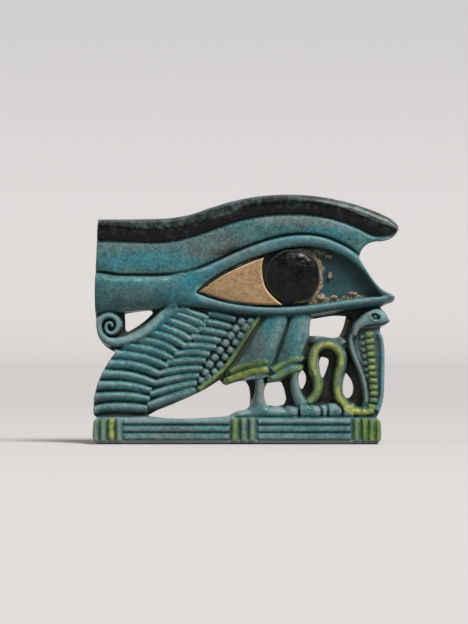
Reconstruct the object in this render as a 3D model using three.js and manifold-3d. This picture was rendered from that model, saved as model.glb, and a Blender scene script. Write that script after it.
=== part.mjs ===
// A pierced wedjat eye amulet: a polychrome faience plaque with a brow, an inlaid eye, a falcon's wing and
// legs, a coiled cheek mark and a rearing cobra, all standing on a bar of bound reeds.
// The plaque is one fired body. The white of the eye and the iris are separate stones, set in mortar.
// Lengths are millimetres. The plaque is drawn upright and facing the viewer: x runs to the right and y up.
// z, called depth here, runs from the flat back towards the viewer. The group at the end turns it to stand.

import * as THREE from "three";
import { mergeVertices } from "three/addons/utils/BufferGeometryUtils.js";
import Module from "manifold-3d";

const wasm = await Module();
wasm.setup();

// Overall size of the amulet, seen from the front
const AMULET_WIDTH = 68;
const AMULET_HEIGHT = 55.5;

// Frame of the drawing, in pixels of the photograph: the amulet's own extremes
const LEFT_PIXEL = 92.5;
const RIGHT_PIXEL = 399;
const TOP_PIXEL = 194.2;
const FOOT_PIXEL = 444.4;

// Depths of the plain levels, from the back
const WEB_DEPTH = 3;
const FIELD_DEPTH = 5.6;
const CELL_FLOOR_DEPTH = 4.3;
const WING_DEPTH = 4.4;
const HOOD_DEPTH = 5.1;
const BASE_DEPTH = 6.7;
const BACK_BEVEL = 0.4;

// Raised forms spring at a depth and rise from there as an arch. All of them are rooted in the web.
const ROOT_DEPTH = 1.5;
const BROW_SPRING = 5.8;
const BROW_RISE = 1.9;
const LID_SPRING = 5.7;
const LID_RISE = 1.8;
const BAND_SPRING = 5.7;
const BAND_RISE = 1.5;
const FEATHER_SPRING = 4.6;
const FEATHER_RISE = 1.2;
const PRIMARY_WIDTH = 1.95;
const COVERT_WIDTH = 1.6;
const COIL_WIDTH = 1.95;
const COIL_END_WIDTH = 0.8;
const COIL_SPRING = 4.9;
const COIL_RISE = 1.3;
const LEADING_EDGE_WIDTH = 1;
const LEADING_EDGE_SPRING = 5.5;
const LEADING_EDGE_RISE = 0.75;
const THIGH_SPRING = 5.1;
const THIGH_RISE = 1.35;
const HEM_WIDTH = 1.15;
const HEM_SPRING = 6.1;
const HEM_RISE = 0.85;
const LEG_SPRING = 4.7;
const LEG_RISE = 1.4;
const FOOT_SPRING = 5.3;
const FOOT_RISE = 1.2;
const TAIL_WIDTH = 2.1;
const TAIL_SPRING = 4.8;
const TAIL_RISE = 1.55;
const HOOD_RIM_WIDTH = 0.75;
const HOOD_RIM_SPRING = 5.4;
const HOOD_RIM_RISE = 0.65;
const HEAD_SPRING = 5.5;
const HEAD_RISE = 1.25;

// Beads: the scales of the wing, the ribs of the cobra's throat, the toes and the cobra's eye
const SCALE_LENGTH = 2.1;
const SCALE_WIDTH = 1.85;
const SCALE_RISE = 1.3;
const THROAT_WIDTH = 1.75;
const THROAT_RISE = 1.35;
const TOE_SPRING = 5.3;
const TOE_RISE = 1.6;
const EYE_PIT_WIDTH = 1.9;
const EYE_PIT_HEIGHT = 1.3;
const EYE_PIT_DEPTH = 0.6;
const PUPIL_WIDTH = 0.9;
const PUPIL_RISE = 0.45;

// Bar of bound reeds under the feet
const BASE_HEIGHT = 5.85;
const BASE_BEVEL = 0.85;
const REED_RISE = 0.8;
const REED_GAP = 0.28;
const BINDING_RISE = 1;
const BINDING_WIDTH = 1.25;

// Inlays and their mortar
const INLAY_GAP = 0.3;
const BED_GAP = 0.2;
const WHITE_TOP_DEPTH = 7;
const WHITE_BEVEL = 0.3;
const WHITE_BED_THICKNESS = 0.45;
const IRIS_SPRING = 6.3;
const IRIS_RISE = 2;
const IRIS_SQUARENESS = 2.15;
const IRIS_BED_THICKNESS = 0.4;
const IRIS_BED_SPREAD = 0.85;
const CRUMB_EDGE = 0.15;
const CRUMB_RISE = 0.75;

// Stringing bore, lengthwise through the plaque behind the brow
const BORE_WIDTH = 1.6;
const BORE_DEPTH = 2.1;
const BORE_PIXEL = 256.5;

// Facets: lengths along outlines, counts across and along the forms
const OUTLINE_FACET_LENGTH = 1.5;
const HOLE_FACET_LENGTH = 1;
const RIDGE_FACETS = 4;
const BROAD_FACETS = 6;
const BORE_FACETS = 10;
const BEAD_FACETS = 8;
const BEAD_RINGS = 2;
const IRIS_FACETS = 40;
const IRIS_RINGS = 6;
const BROW_SEGMENTS = 26;
const LID_SEGMENTS = 28;
const BAND_SEGMENTS = 14;
const BLOCK_SEGMENTS = 30;
const COIL_SEGMENTS = 38;
const TAIL_SEGMENTS = 32;
const LIMB_SEGMENTS = 8;
const RIM_SEGMENTS = 11;
const FEATHER_SEGMENTS = 5;
const SCALES_IN_ROW = 9;
const THROAT_RIBS = 12;

// Room that cuts run past what they cut, and the distance under which two corners are one
const OVERRUN = 3;
const WELD = 0.0001;

// Shares: how ridges round off at their ends, and how far the ribs of the throat run into each other
const TIP_LENGTH_SHARE = 0.12;
const TIP_RISE_LENGTH_SHARE = 0.22;
const LEAST_TIP_SHARE = 0.35;
const CORNER_FADE_SHARE = 0.16;
const CORNER_RISE_SHARE = 0.25;
const RIB_OVERLAP_SHARE = 1.12;
const IRIS_FOOT_SHARE = 0.96;
const IRIS_CROWN_SHARE = 0.12;
const SHARPEST_CORNER_SHARE = 0.3;
const REED_EDGE_SHARES = [1, 0.745, 0.355, 0];

// Outlines traced from the photograph, in its pixels. Each row is a smooth stretch, and rows meet in corners.
const SILHOUETTE_PIXELS = [
  [[98, 219], [120, 219], [150, 218.6], [172, 217.6], [190, 214.3], [210, 207.6], [232, 201], [256, 196.3],
    [284, 194.2], [308, 195], [332, 198.4], [356, 204.3], [378, 212.2], [392, 219]],
  [[392, 219], [398, 224.4], [399, 229.6], [393, 237.4], [384, 240.8], [374, 241.6], [366, 245], [361, 251],
    [359, 258]],
  [[359, 258], [366, 269.5], [374, 281], [383, 289.8], [391, 293.6]],
  [[391, 293.6], [395.6, 297], [393.4, 301.8], [386, 304.6], [380.5, 307.5]],
  [[380.5, 307.5], [384.5, 311.5], [388, 317], [390.4, 321]],
  [[390.4, 321], [386.5, 324.6], [381.5, 327], [380, 330.5]],
  [[380, 330.5], [383, 338], [384.6, 352], [384.6, 378], [383.6, 398], [380.6, 410], [376.6, 417.6]],
  [[376.6, 417.6], [380, 421], [381.2, 430], [380.6, 440], [377, 444.4]],
  [[377, 444.4], [308, 443.8]],
  [[308, 443.8], [169, 443.8]],
  [[169, 443.8], [100, 444.4]],
  [[100, 444.4], [95, 442], [92.5, 436], [92.9, 428], [94, 420.6], [96.8, 418]],
  [[96.8, 418], [93.6, 415], [93.2, 406], [95, 392], [99.6, 378], [107, 364], [114.6, 352.6]],
  [[114.6, 352.6], [108, 348.6], [102, 343.5], [98, 336], [96, 326], [95.2, 316]],
  [[95.2, 316], [94.6, 300], [95, 280], [96.2, 258], [97, 236], [98, 219]],
];
const HOLE_PIXELS = {
  byCoil: [
    [[124.6, 314], [137, 312], [150.4, 310.6]],
    [[150.4, 310.6], [152.6, 312.6], [147, 318.8], [140, 324.4], [133, 329], [127.6, 332]],
    [[127.6, 332], [125.4, 330.6], [124.8, 322], [124.6, 314]],
  ],
  underWing: [
    [[147.4, 416.2], [156, 411.2], [172, 404.8], [190, 397], [204, 390], [219.6, 380.4]],
    [[219.6, 380.4], [222.6, 384.2], [226, 385.8]],
    [[226, 385.8], [236, 382.4], [244.6, 381]],
    [[244.6, 381], [248.4, 386], [250.2, 398], [249.6, 406]],
    [[249.6, 406], [246, 409.6], [238, 411], [232.4, 413.8], [229, 416.4]],
    [[229, 416.4], [208, 418], [186, 419], [164, 418.4], [147.4, 416.2]],
  ],
  betweenLegs: [
    [[267, 383.6], [274, 382.6], [281.4, 382.4]],
    [[281.4, 382.4], [284.4, 390], [286, 400], [283.6, 405]],
    [[283.6, 405], [275, 406.6], [266.6, 405]],
    [[266.6, 405], [264.2, 397], [264.6, 389], [267, 383.6]],
  ],
  behindNeck: [
    [[311, 319.4], [322, 317.6], [334, 316], [346.6, 316.2]],
    [[346.6, 316.2], [343.4, 328], [339.4, 337]],
    [[339.4, 337], [334, 338], [320, 336.2], [309.6, 336]],
    [[309.6, 336], [310, 327], [311, 319.4]],
  ],
  byShin: [[[302.8, 370.4], [305.8, 375], [306, 382], [302, 389.6], [299.4, 385], [299.2, 375],
    [302.8, 370.4]]],
  inLoop: [[[321.4, 356.8], [328.6, 359.4], [327.4, 368], [322.6, 378.4], [320.6, 371], [319.4, 362],
    [321.4, 356.8]]],
  byHood: [[[346, 372.8], [350.6, 378.6], [353.6, 387], [352, 395.6], [348, 398.6], [344, 394], [343.6, 384],
    [346, 372.8]]],
};

// Rails: pairs of edges that a raised form spans
const BROW_PIXELS = [
  [[88, 219.8], [120, 219.4], [150, 219], [172, 217.8], [190, 214.6], [210, 208], [232, 201.4], [256, 196.6],
    [284, 194.4], [308, 195.2], [332, 198.6], [356, 204.6], [378, 212.4], [391, 218.6], [398.4, 226]],
  [[88, 240.4], [120, 241.4], [150, 242.4], [168, 241.8], [186, 238.4], [204, 233], [224, 225.8], [246, 219],
    [270, 215.4], [294, 214.4], [316, 215.8], [338, 220.4], [358, 228], [374, 235.4], [396, 234]],
];
const UPPER_LID_PIXELS = [
  [[176, 273.6], [190, 270.6], [204, 266], [218, 260], [234, 252.6], [252, 245.2], [272, 238.6], [292, 235],
    [308, 234.4], [324, 237], [340, 243], [352, 249.8], [361, 257.4], [368, 268.6], [376, 280], [385, 288.6],
    [394.6, 296]],
  [[184, 300], [198.4, 292.2], [214, 278.6], [232, 268.4], [252, 259.6], [270, 253.8], [288, 249.2],
    [306, 247.4], [322, 249.2], [338, 254.6], [351, 262], [361, 271.2], [369, 281], [376, 290], [386, 298]],
];
const LOWER_LID_PIXELS = [
  [[182, 284], [198.4, 292.2], [212, 297.2], [230, 302], [250, 304.8], [270, 306], [290, 305.8], [310, 304.2],
    [334, 301], [358, 297.6], [380, 295.2], [392, 292.6]],
  [[180, 307.2], [200, 308.4], [216, 311.2], [236, 314.4], [258, 316.8], [280, 317.8], [300, 316.8],
    [320, 314], [342, 310.4], [364, 307.6], [384, 305], [395.4, 300]],
];
const TAIL_BAND_PIXELS = [
  [[88, 271], [104, 272.4], [116, 274.4], [140, 274.8], [165, 274.6], [180, 273], [202, 268]],
  [[88, 313.8], [110, 312.6], [130, 311], [150, 309.4], [170, 307.8], [186, 307], [203, 308.4]],
];
const THIGH_PIXELS = [
  [[[266, 315], [256, 332], [245, 350], [228, 375], [222, 384]],
    [[290, 315], [284, 334], [277, 353], [270, 377]]],
  [[[291, 315], [285, 336], [278, 356], [270, 381]],
    [[311, 315], [309.6, 335], [304, 350], [298, 372]]],
];
const LEG_PIXELS = [
  [[[256, 372], [256, 392], [252, 410]], [[263.6, 372], [263, 392], [267, 410]]],
  [[[290, 368], [290.6, 386], [294, 399], [298, 410], [304, 418]],
    [[298.6, 368], [298.8, 386], [302.6, 397], [309, 405], [318.4, 416]]],
];
const FOOT_PIXELS = [
  [[231, 416], [238, 411.6], [248, 409.8], [258, 406.6], [270, 407.6], [282, 408.4], [296, 415]],
  [[231, 418.6], [244, 418.6], [258, 418.6], [270, 418.6], [282, 418.6], [296, 418.6]],
];
const FOOTING_PIXELS = [
  [[298, 406], [322, 407], [346, 408]],
  [[298, 418.6], [322, 418.6], [346, 418.6]],
];
const HEAD_PIXELS = [
  [[351.6, 335], [354, 326], [361, 317.6], [369, 311.4], [377, 308.4], [384.4, 311.4], [391, 321]],
  [[357, 336], [360, 330], [367, 328.4], [374, 327.8], [381, 326.2], [386, 324.4], [391, 321.6]],
];

// Centre lines of ridges of a steady width
const COIL_BAND_PIXELS = [[174, 308], [165, 316], [155, 325.6], [144, 333.6], [131, 339.6], [119, 342.2],
  [109, 341], [102, 335.6], [98.8, 328], [99.8, 321], [105, 316.6], [111.4, 316.4], [116, 320.4],
  [117.2, 326.4], [114.4, 331.6], [109.8, 331.6], [107.8, 328], [110, 325.4]];
const LEADING_EDGE_PIXELS = [[260, 316], [251, 329.6], [243, 342], [235, 354.6], [226, 367], [214, 378],
  [198, 390]];
const HEM_PIXELS = [
  [[229, 373.4], [238, 368.6], [252, 365], [269, 362]],
  [[227, 381], [238, 376.6], [252, 372.4], [269, 369.8]],
  [[272, 371.6], [280, 367], [290, 361.6], [300, 358.4]],
  [[271, 379.6], [280, 375], [289, 371], [298.6, 368]],
];
const TAIL_LOOP_PIXELS = [[308, 404], [314.6, 397], [318, 389], [317.4, 379], [314, 370], [312.6, 361],
  [314.4, 352], [320, 346], [328, 344], [336, 347], [341.6, 354.6], [341.8, 365], [339, 376], [338, 388],
  [340, 398], [346, 406.4], [354, 411.4], [364, 412.6], [374, 410]];
const HOOD_RIM_PIXELS = [
  [[355.6, 331], [351.4, 338], [351.4, 347], [355, 358], [360, 370], [364, 382], [366, 394], [366, 404]],
  [[378.6, 332], [382, 339], [383, 352], [382.8, 378], [381.8, 398], [377.4, 412]],
];
const THROAT_PIXELS = [[369, 335], [370.4, 350], [372, 366], [373.4, 382], [374, 396], [372, 407]];

// Feathers: where each ridge starts, bends and ends. Primaries run from the wing's edge.
const PRIMARY_PIXELS = [
  [[184, 309.6], [194, 313], [206, 317]], [[176, 314], [190, 318.6], [203, 324.6]],
  [[168, 319.4], [183, 325], [197, 330.6]], [[160, 325.4], [175, 331], [189, 338]],
  [[152, 332], [167, 336.6], [182, 343.6]], [[142, 338.6], [159, 343], [175, 350.6]],
  [[128, 345.2], [150, 349.4], [171, 357]], [[116, 352.6], [142, 356.6], [166, 365.2]],
  [[107, 362.4], [134, 364.4], [160, 373]], [[100, 372.6], [128, 374.4], [153.6, 381.4]],
  [[95, 384], [124, 384.4], [150.4, 389]], [[92, 396.4], [120, 394.8], [148.6, 397.4]],
  [[92, 410], [108, 406.2], [146, 406.4]],
];
const COVERT_PIXELS = [
  [[208, 313.4], [222, 316], [236, 319.4]], [[203, 321.8], [217, 324.4], [231.6, 327.6]],
  [[198, 329.6], [212, 332], [227, 334.6]], [[191, 337.2], [206, 339.4], [221.4, 341.4]],
  [[182, 346.4], [199, 346.6], [216.4, 348]], [[174, 355], [192, 353.4], [210, 354.6]],
  [[166.6, 364], [186, 361.2], [206, 361]], [[160, 373.6], [182, 370], [203, 368.6]],
  [[154, 384], [178, 379], [200, 375.8]], [[150, 395], [174, 388.4], [197.4, 382.8]],
  [[147.6, 406], [172, 397.6], [196, 389.8]],
];

// Beads: the two rows of scales, and the toes with their half sizes
const SCALE_ROW_PIXELS = [
  [[241.4, 321.6], [229.6, 337], [218.4, 353], [208.6, 367], [202, 381]],
  [[250.6, 321], [240.4, 336.4], [229.4, 351.6], [219, 366.4], [208.4, 378]],
];
const TOE_PIXELS = [
  { at: [293.6, 413], half: [5.2, 4.4] }, { at: [321.6, 411.8], half: [4.2, 6] },
  { at: [330.6, 411.2], half: [5.6, 6.4] }, { at: [341.4, 412], half: [5.6, 6] },
];
const COBRA_EYE_PIXEL = [375.4, 316.8];

// Levels that fill between the ridges
const EYE_BLOCK_FOOT_PIXELS = [[84, 313.8], [110, 312.6], [130, 311], [150, 309.4], [172, 307.6], [190, 307],
  [210, 310.2], [236, 314.4], [258, 316.8], [280, 317.8], [300, 316.8], [320, 314], [342, 310.4],
  [364, 307.6], [384, 305.4], [404, 305.4]];
const WING_FIELD_PIXELS = [
  [[176, 306], [165, 320], [150, 333], [135, 341.6], [120, 347], [104, 352]],
  [[104, 352], [84, 380], [84, 412]],
  [[84, 412], [147, 411.6]],
  [[147, 411.6], [170, 405], [190, 396.4], [206, 388.4], [221, 378.4]],
  [[221, 378.4], [234, 365.4], [246, 349], [266, 316]],
  [[266, 316], [266, 306], [176, 306]],
];
const HOOD_FIELD_PIXELS = [
  [[358, 326], [352, 334], [350, 343], [353, 355], [359, 369], [363.6, 383], [365, 395], [362, 409]],
  [[362, 409], [372, 418], [380, 416], [388, 396], [388, 352], [386, 336], [378, 326]],
  [[378, 326], [358, 326]],
];
const EYE_OPENING_PIXELS = [
  [[198.4, 292.2], [206, 284.6], [216, 277.4], [232, 268.4], [252, 259.6], [270, 253.8], [288, 249.2],
    [306, 247.4], [322, 249.2], [338, 254.6], [351, 262], [361, 271.2], [369, 281], [380, 295.2]],
  [[380, 295.2], [358, 297.6], [334, 301], [310, 304.2], [290, 305.8], [270, 306], [250, 304.8], [230, 302],
    [212, 297.2], [198.4, 292.2]],
];
const IRIS_CENTRE_PIXEL = [291.8, 277.2];
const IRIS_HALF_PIXELS = [27.7, 26.6];
const WHITE_RIGHT_PIXELS = [[272, 240], [262.6, 262], [262.4, 275], [266, 288], [274, 297.6], [283.6, 305.6],
  [298, 316]];

// Base: where its bays of reeds begin and end, and the middle of each cord that binds them
const BAY_EDGE_PIXELS = [[122.6, 230.4], [257, 351.6]];
const BINDING_PIXELS = [95.4, 103, 111.4, 119, 234.6, 243.6, 252.2, 356.6, 364.8, 371.6, 378.4];

// Mortar crumbs left in the empty corner: across, their middles and half widths as shares of the room between
// the iris and the inner corner of the eye; down, their middles and half heights in pixels
const CRUMBS = [
  { name: "mortar_crumb_by_iris", middleShare: 0.0314, halfShare: 0.0826, downPixel: 298, halfPixels: 3.2 },
  { name: "mortar_crumb_lower_lid", middleShare: 0.2463, halfShare: 0.0926, downPixel: 297, halfPixels: 2.4 },
  { name: "mortar_crumb_canthus", middleShare: 0.5438, halfShare: 0.1157, downPixel: 293.4, halfPixels: 2.4 },
  { name: "mortar_crumb_upper_lid", middleShare: 0.157, halfShare: 0.076, downPixel: 256.4, halfPixels: 2.6 },
  { name: "mortar_crumb_with_pit", middleShare: 0.1802, halfShare: 0.0562, downPixel: 275, halfPixels: 5.4 },
];
const [CANTHUS_PIXEL] = EYE_OPENING_PIXELS[1][0];

const MM_PER_PIXEL_ACROSS = AMULET_WIDTH / (RIGHT_PIXEL - LEFT_PIXEL);
const MM_PER_PIXEL_UP = AMULET_HEIGHT / (FOOT_PIXEL - TOP_PIXEL);
const MIDDLE_PIXEL = (LEFT_PIXEL + RIGHT_PIXEL) / 2;
const TOP_DEPTH = IRIS_SPRING + IRIS_RISE;
const HALF_REACH = AMULET_WIDTH / 2 + OVERRUN;
const FULL_REACH = AMULET_HEIGHT + OVERRUN;
const BED_DEPTH = CELL_FLOOR_DEPTH + BED_GAP;

// Place of a pixel of the photograph on the drawing
function spot([across, down]) {
  const x = (across - MIDDLE_PIXEL) * MM_PER_PIXEL_ACROSS;
  return new THREE.Vector2(x, (FOOT_PIXEL - down) * MM_PER_PIXEL_UP);
}

// Smooth curve through pixels of the photograph
function curveThrough(pixels) {
  const places = pixels.map(spot).map((p) => new THREE.Vector3(p.x, p.y, 0));
  return new THREE.CatmullRomCurve3(places, false, "centripetal");
}

// Evenly spaced places along a curve, one more than the segments asked for
function stations(curve, segments) {
  return curve.getSpacedPoints(segments).map((p) => new THREE.Vector2(p.x, p.y));
}

// Closed outline from smooth stretches that meet in corners
function outline(stretches, step) {
  return stretches.flatMap((pixels) => {
    const curve = curveThrough(pixels);
    const segments = pixels.length > 2 ? Math.max(2, Math.round(curve.getLength() / step)) : 1;
    return stations(curve, segments).slice(0, -1);
  });
}

// Signed volume of an indexed geometry
function signedVolume(geometry) {
  const place = geometry.getAttribute("position");
  const corners = [0, 1, 2].map(() => new THREE.Vector3());
  const index = geometry.index.array;
  let volume = 0;
  for (let i = 0; i < index.length; i += 3) {
    corners.forEach((corner, k) => corner.fromBufferAttribute(place, index[i + k]));
    volume += corners[0].dot(corners[1].cross(corners[2])) / 6;
  }
  return volume;
}

// Solid from a closed geometry, without the flat triangles at its poles, and with its faces turned outwards
function solidFrom(geometry) {
  geometry.deleteAttribute("normal");
  geometry.deleteAttribute("uv");
  const merged = mergeVertices(geometry, WELD);
  const corners = [];
  for (let i = 0; i < merged.index.count; i += 3) {
    const [a, b, c] = merged.index.array.slice(i, i + 3);
    if (a !== b && b !== c && c !== a) corners.push(a, b, c);
  }
  const triVerts = new Uint32Array(corners);
  if (signedVolume(merged) < 0) triVerts.reverse();
  const vertProperties = merged.getAttribute("position").array;
  return new wasm.Manifold(new wasm.Mesh({ numProp: 3, vertProperties, triVerts }));
}

// Flat slab of an outline between two depths
function slab(points, from, to) {
  const settings = { depth: to - from, bevelEnabled: false };
  const geometry = new THREE.ExtrudeGeometry(new THREE.Shape(points), settings);
  return solidFrom(geometry.translate(0, 0, from));
}

// Slab with both of its edges bevelled
function bevelledSlab(points, from, to, bevel) {
  const edges = { bevelThickness: bevel, bevelSize: bevel, bevelOffset: -bevel, bevelSegments: 1 };
  const settings = { depth: to - from - 2 * bevel, ...edges };
  const geometry = new THREE.ExtrudeGeometry(new THREE.Shape(points), settings);
  return solidFrom(geometry.translate(0, 0, from + bevel));
}

// Rectangular slab from one corner to the other
function block([left, foot], [right, top], from, to) {
  const corners = [[left, foot], [right, foot], [right, top], [left, top]];
  return slab(corners.map(([x, y]) => new THREE.Vector2(x, y)), from, to);
}

// Solid lofted through closed sections that all have the same number of points
function loft(sections) {
  const count = sections[0].length;
  const last = (sections.length - 1) * count;
  const index = [];
  for (let start = 0; start < last; start += count)
    for (let k = 0; k < count; k++) {
      const [a, b] = [start + k, start + ((k + 1) % count)];
      index.push(a, b, b + count, a, b + count, a + count);
    }
  for (let k = 1; k < count - 1; k++) index.push(0, k + 1, k, last, last + k, last + k + 1);
  const positions = sections.flat().flatMap((p) => p.toArray());
  const geometry = new THREE.BufferGeometry();
  geometry.setAttribute("position", new THREE.Float32BufferAttribute(positions, 3));
  return solidFrom(geometry.setIndex(index));
}

// Arched form between two rails: upright sides from the root to the spring, then an arch
function vault([left, right], { spring, rise, facets = RIDGE_FACETS, fullness = () => 1 }) {
  const sections = left.map((a, i) => {
    const b = right[i];
    const crest = rise * fullness(i / (left.length - 1));
    const arch = Array.from({ length: facets + 1 }, (_, k) => {
      const turn = (Math.PI * k) / facets;
      const across = new THREE.Vector2().lerpVectors(a, b, (1 - Math.cos(turn)) / 2);
      return new THREE.Vector3(across.x, across.y, spring + crest * Math.sin(turn));
    });
    return [new THREE.Vector3(a.x, a.y, ROOT_DEPTH), ...arch, new THREE.Vector3(b.x, b.y, ROOT_DEPTH)];
  });
  return loft(sections);
}

// Vault between two traced rails
function vaultBetween(railPixels, segments, arch) {
  return vault(railPixels.map((pixels) => stations(curveThrough(pixels), segments)), arch);
}

// Ridge along a traced line, as wide as widthAt says
function ridge(pixels, segments, widthAt, arch) {
  const middle = stations(curveThrough(pixels), segments);
  const rails = [1, -1].map((side) =>
    middle.map((p, i) => {
      const before = middle[Math.max(0, i - 1)];
      const after = middle[Math.min(segments, i + 1)];
      const along = new THREE.Vector2().subVectors(after, before).normalize();
      const half = (side * widthAt(i / segments)) / 2;
      return new THREE.Vector2(p.x - along.y * half, p.y + along.x * half);
    }));
  return vault(rails, arch);
}

// Share of full size along a form that rounds off over the given share of its length at each end
function roundedEnds(lengthShare) {
  return (t) => {
    const inwards = Math.min(1, Math.min(t, 1 - t) / lengthShare);
    return Math.max(LEAST_TIP_SHARE, Math.sqrt(1 - (1 - inwards) ** 2));
  };
}

// Share of full rise of an eyelid, which grows out of the band at the outer corner
function risesFromCorner(t) {
  return THREE.MathUtils.lerp(CORNER_RISE_SHARE, 1, Math.min(1, t / CORNER_FADE_SHARE));
}

// Bead: a low dome on an upright wall that reaches down to its root
function bead(place, width, height, { root = ROOT_DEPTH, spring, rise }, turn = 0) {
  const dome = Array.from({ length: BEAD_RINGS + 1 }, (_, k) => {
    const lift = (Math.PI / 2) * (k / BEAD_RINGS);
    return new THREE.Vector2(Math.cos(lift), spring + rise * Math.sin(lift));
  });
  dome[BEAD_RINGS].x = 0;
  const profile = [new THREE.Vector2(0, root), new THREE.Vector2(1, root), ...dome];
  const geometry = new THREE.LatheGeometry(profile, BEAD_FACETS);
  geometry.rotateX(Math.PI / 2);
  geometry.scale(width / 2, height / 2, 1);
  geometry.rotateZ(turn);
  return solidFrom(geometry.translate(place.x, place.y, 0));
}

// Bead from its middle and half sizes in pixels
function tracedBead({ at, half: [across, up] }, dome) {
  return bead(spot(at), 2 * across * MM_PER_PIXEL_ACROSS, 2 * up * MM_PER_PIXEL_UP, dome);
}

// Brow, forehead field, eyelids and the broad band that trails from the outer corner
function eyeForms() {
  const foot = stations(curveThrough(EYE_BLOCK_FOOT_PIXELS), BLOCK_SEGMENTS);
  const corners = [foot[foot.length - 1], foot[0]].map(({ x }) => new THREE.Vector2(x, FULL_REACH));
  const brow = { spring: BROW_SPRING, rise: BROW_RISE, facets: BROAD_FACETS };
  const lid = { spring: LID_SPRING, rise: LID_RISE, facets: BROAD_FACETS, fullness: risesFromCorner };
  const band = { spring: BAND_SPRING, rise: BAND_RISE, facets: BROAD_FACETS };
  return [
    slab([...foot, ...corners], ROOT_DEPTH, FIELD_DEPTH),
    vaultBetween(BROW_PIXELS, BROW_SEGMENTS, brow),
    vaultBetween(UPPER_LID_PIXELS, LID_SEGMENTS, lid),
    vaultBetween(LOWER_LID_PIXELS, LID_SEGMENTS, lid),
    vaultBetween(TAIL_BAND_PIXELS, BAND_SEGMENTS, band),
  ];
}

// Wing: its field, two rows of feathers, two rows of scales and the leading edge
function wingForms() {
  const arch = { spring: FEATHER_SPRING, rise: FEATHER_RISE, fullness: roundedEnds(TIP_RISE_LENGTH_SHARE) };
  const feathers = (rows, width) => {
    const widthAt = (t) => width * roundedEnds(TIP_LENGTH_SHARE)(t);
    return rows.map((pixels) => ridge(pixels, FEATHER_SEGMENTS, widthAt, arch));
  };
  const scales = SCALE_ROW_PIXELS.flatMap((row) => {
    const places = stations(curveThrough(row), SCALES_IN_ROW - 1);
    return places.map((place, i) => {
      const along = places[Math.min(i + 1, SCALES_IN_ROW - 1)].clone().sub(places[Math.max(i - 1, 0)]);
      return bead(place, SCALE_LENGTH, SCALE_WIDTH, { spring: WING_DEPTH, rise: SCALE_RISE }, along.angle());
    });
  });
  return [
    slab(outline(WING_FIELD_PIXELS, OUTLINE_FACET_LENGTH), ROOT_DEPTH, WING_DEPTH),
    ...feathers(PRIMARY_PIXELS, PRIMARY_WIDTH),
    ...feathers(COVERT_PIXELS, COVERT_WIDTH),
    ...scales,
    ridge(LEADING_EDGE_PIXELS, RIM_SEGMENTS, () => LEADING_EDGE_WIDTH,
      { spring: LEADING_EDGE_SPRING, rise: LEADING_EDGE_RISE }),
  ];
}

// Coiled cheek mark: a band that narrows as it winds in
function coilForm() {
  const widthAt = (t) => THREE.MathUtils.lerp(COIL_WIDTH, COIL_END_WIDTH, t);
  return ridge(COIL_BAND_PIXELS, COIL_SEGMENTS, widthAt, { spring: COIL_SPRING, rise: COIL_RISE });
}

// Falcon's thighs with their hems, its legs, feet and toes
function legForms() {
  const thigh = { spring: THIGH_SPRING, rise: THIGH_RISE, facets: BROAD_FACETS };
  const leg = { spring: LEG_SPRING, rise: LEG_RISE };
  const hem = { spring: HEM_SPRING, rise: HEM_RISE };
  return [
    ...THIGH_PIXELS.map((rails) => vaultBetween(rails, LIMB_SEGMENTS, thigh)),
    ...HEM_PIXELS.map((pixels) => ridge(pixels, FEATHER_SEGMENTS, () => HEM_WIDTH, hem)),
    ...[...LEG_PIXELS, FOOTING_PIXELS].map((rails) => vaultBetween(rails, LIMB_SEGMENTS, leg)),
    vaultBetween(FOOT_PIXELS, LIMB_SEGMENTS, { spring: FOOT_SPRING, rise: FOOT_RISE }),
    ...TOE_PIXELS.map((toe) => tracedBead(toe, { spring: TOE_SPRING, rise: TOE_RISE })),
  ];
}

// Rearing cobra: the loop of its tail, its hood with two rims, its ribbed throat and its head
function cobraForms() {
  const rim = { spring: HOOD_RIM_SPRING, rise: HOOD_RIM_RISE };
  const throat = curveThrough(THROAT_PIXELS);
  const ribHeight = (throat.getLength() / (THROAT_RIBS - 1)) * RIB_OVERLAP_SHARE;
  return [
    slab(outline(HOOD_FIELD_PIXELS, OUTLINE_FACET_LENGTH), ROOT_DEPTH, HOOD_DEPTH),
    ...HOOD_RIM_PIXELS.map((pixels) => ridge(pixels, RIM_SEGMENTS, () => HOOD_RIM_WIDTH, rim)),
    ...stations(throat, THROAT_RIBS - 1).map((place) =>
      bead(place, THROAT_WIDTH, ribHeight, { spring: HOOD_DEPTH, rise: THROAT_RISE })),
    ridge(TAIL_LOOP_PIXELS, TAIL_SEGMENTS, () => TAIL_WIDTH, { spring: TAIL_SPRING, rise: TAIL_RISE }),
    vaultBetween(HEAD_PIXELS, RIM_SEGMENTS, { spring: HEAD_SPRING, rise: HEAD_RISE }),
  ];
}

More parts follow.
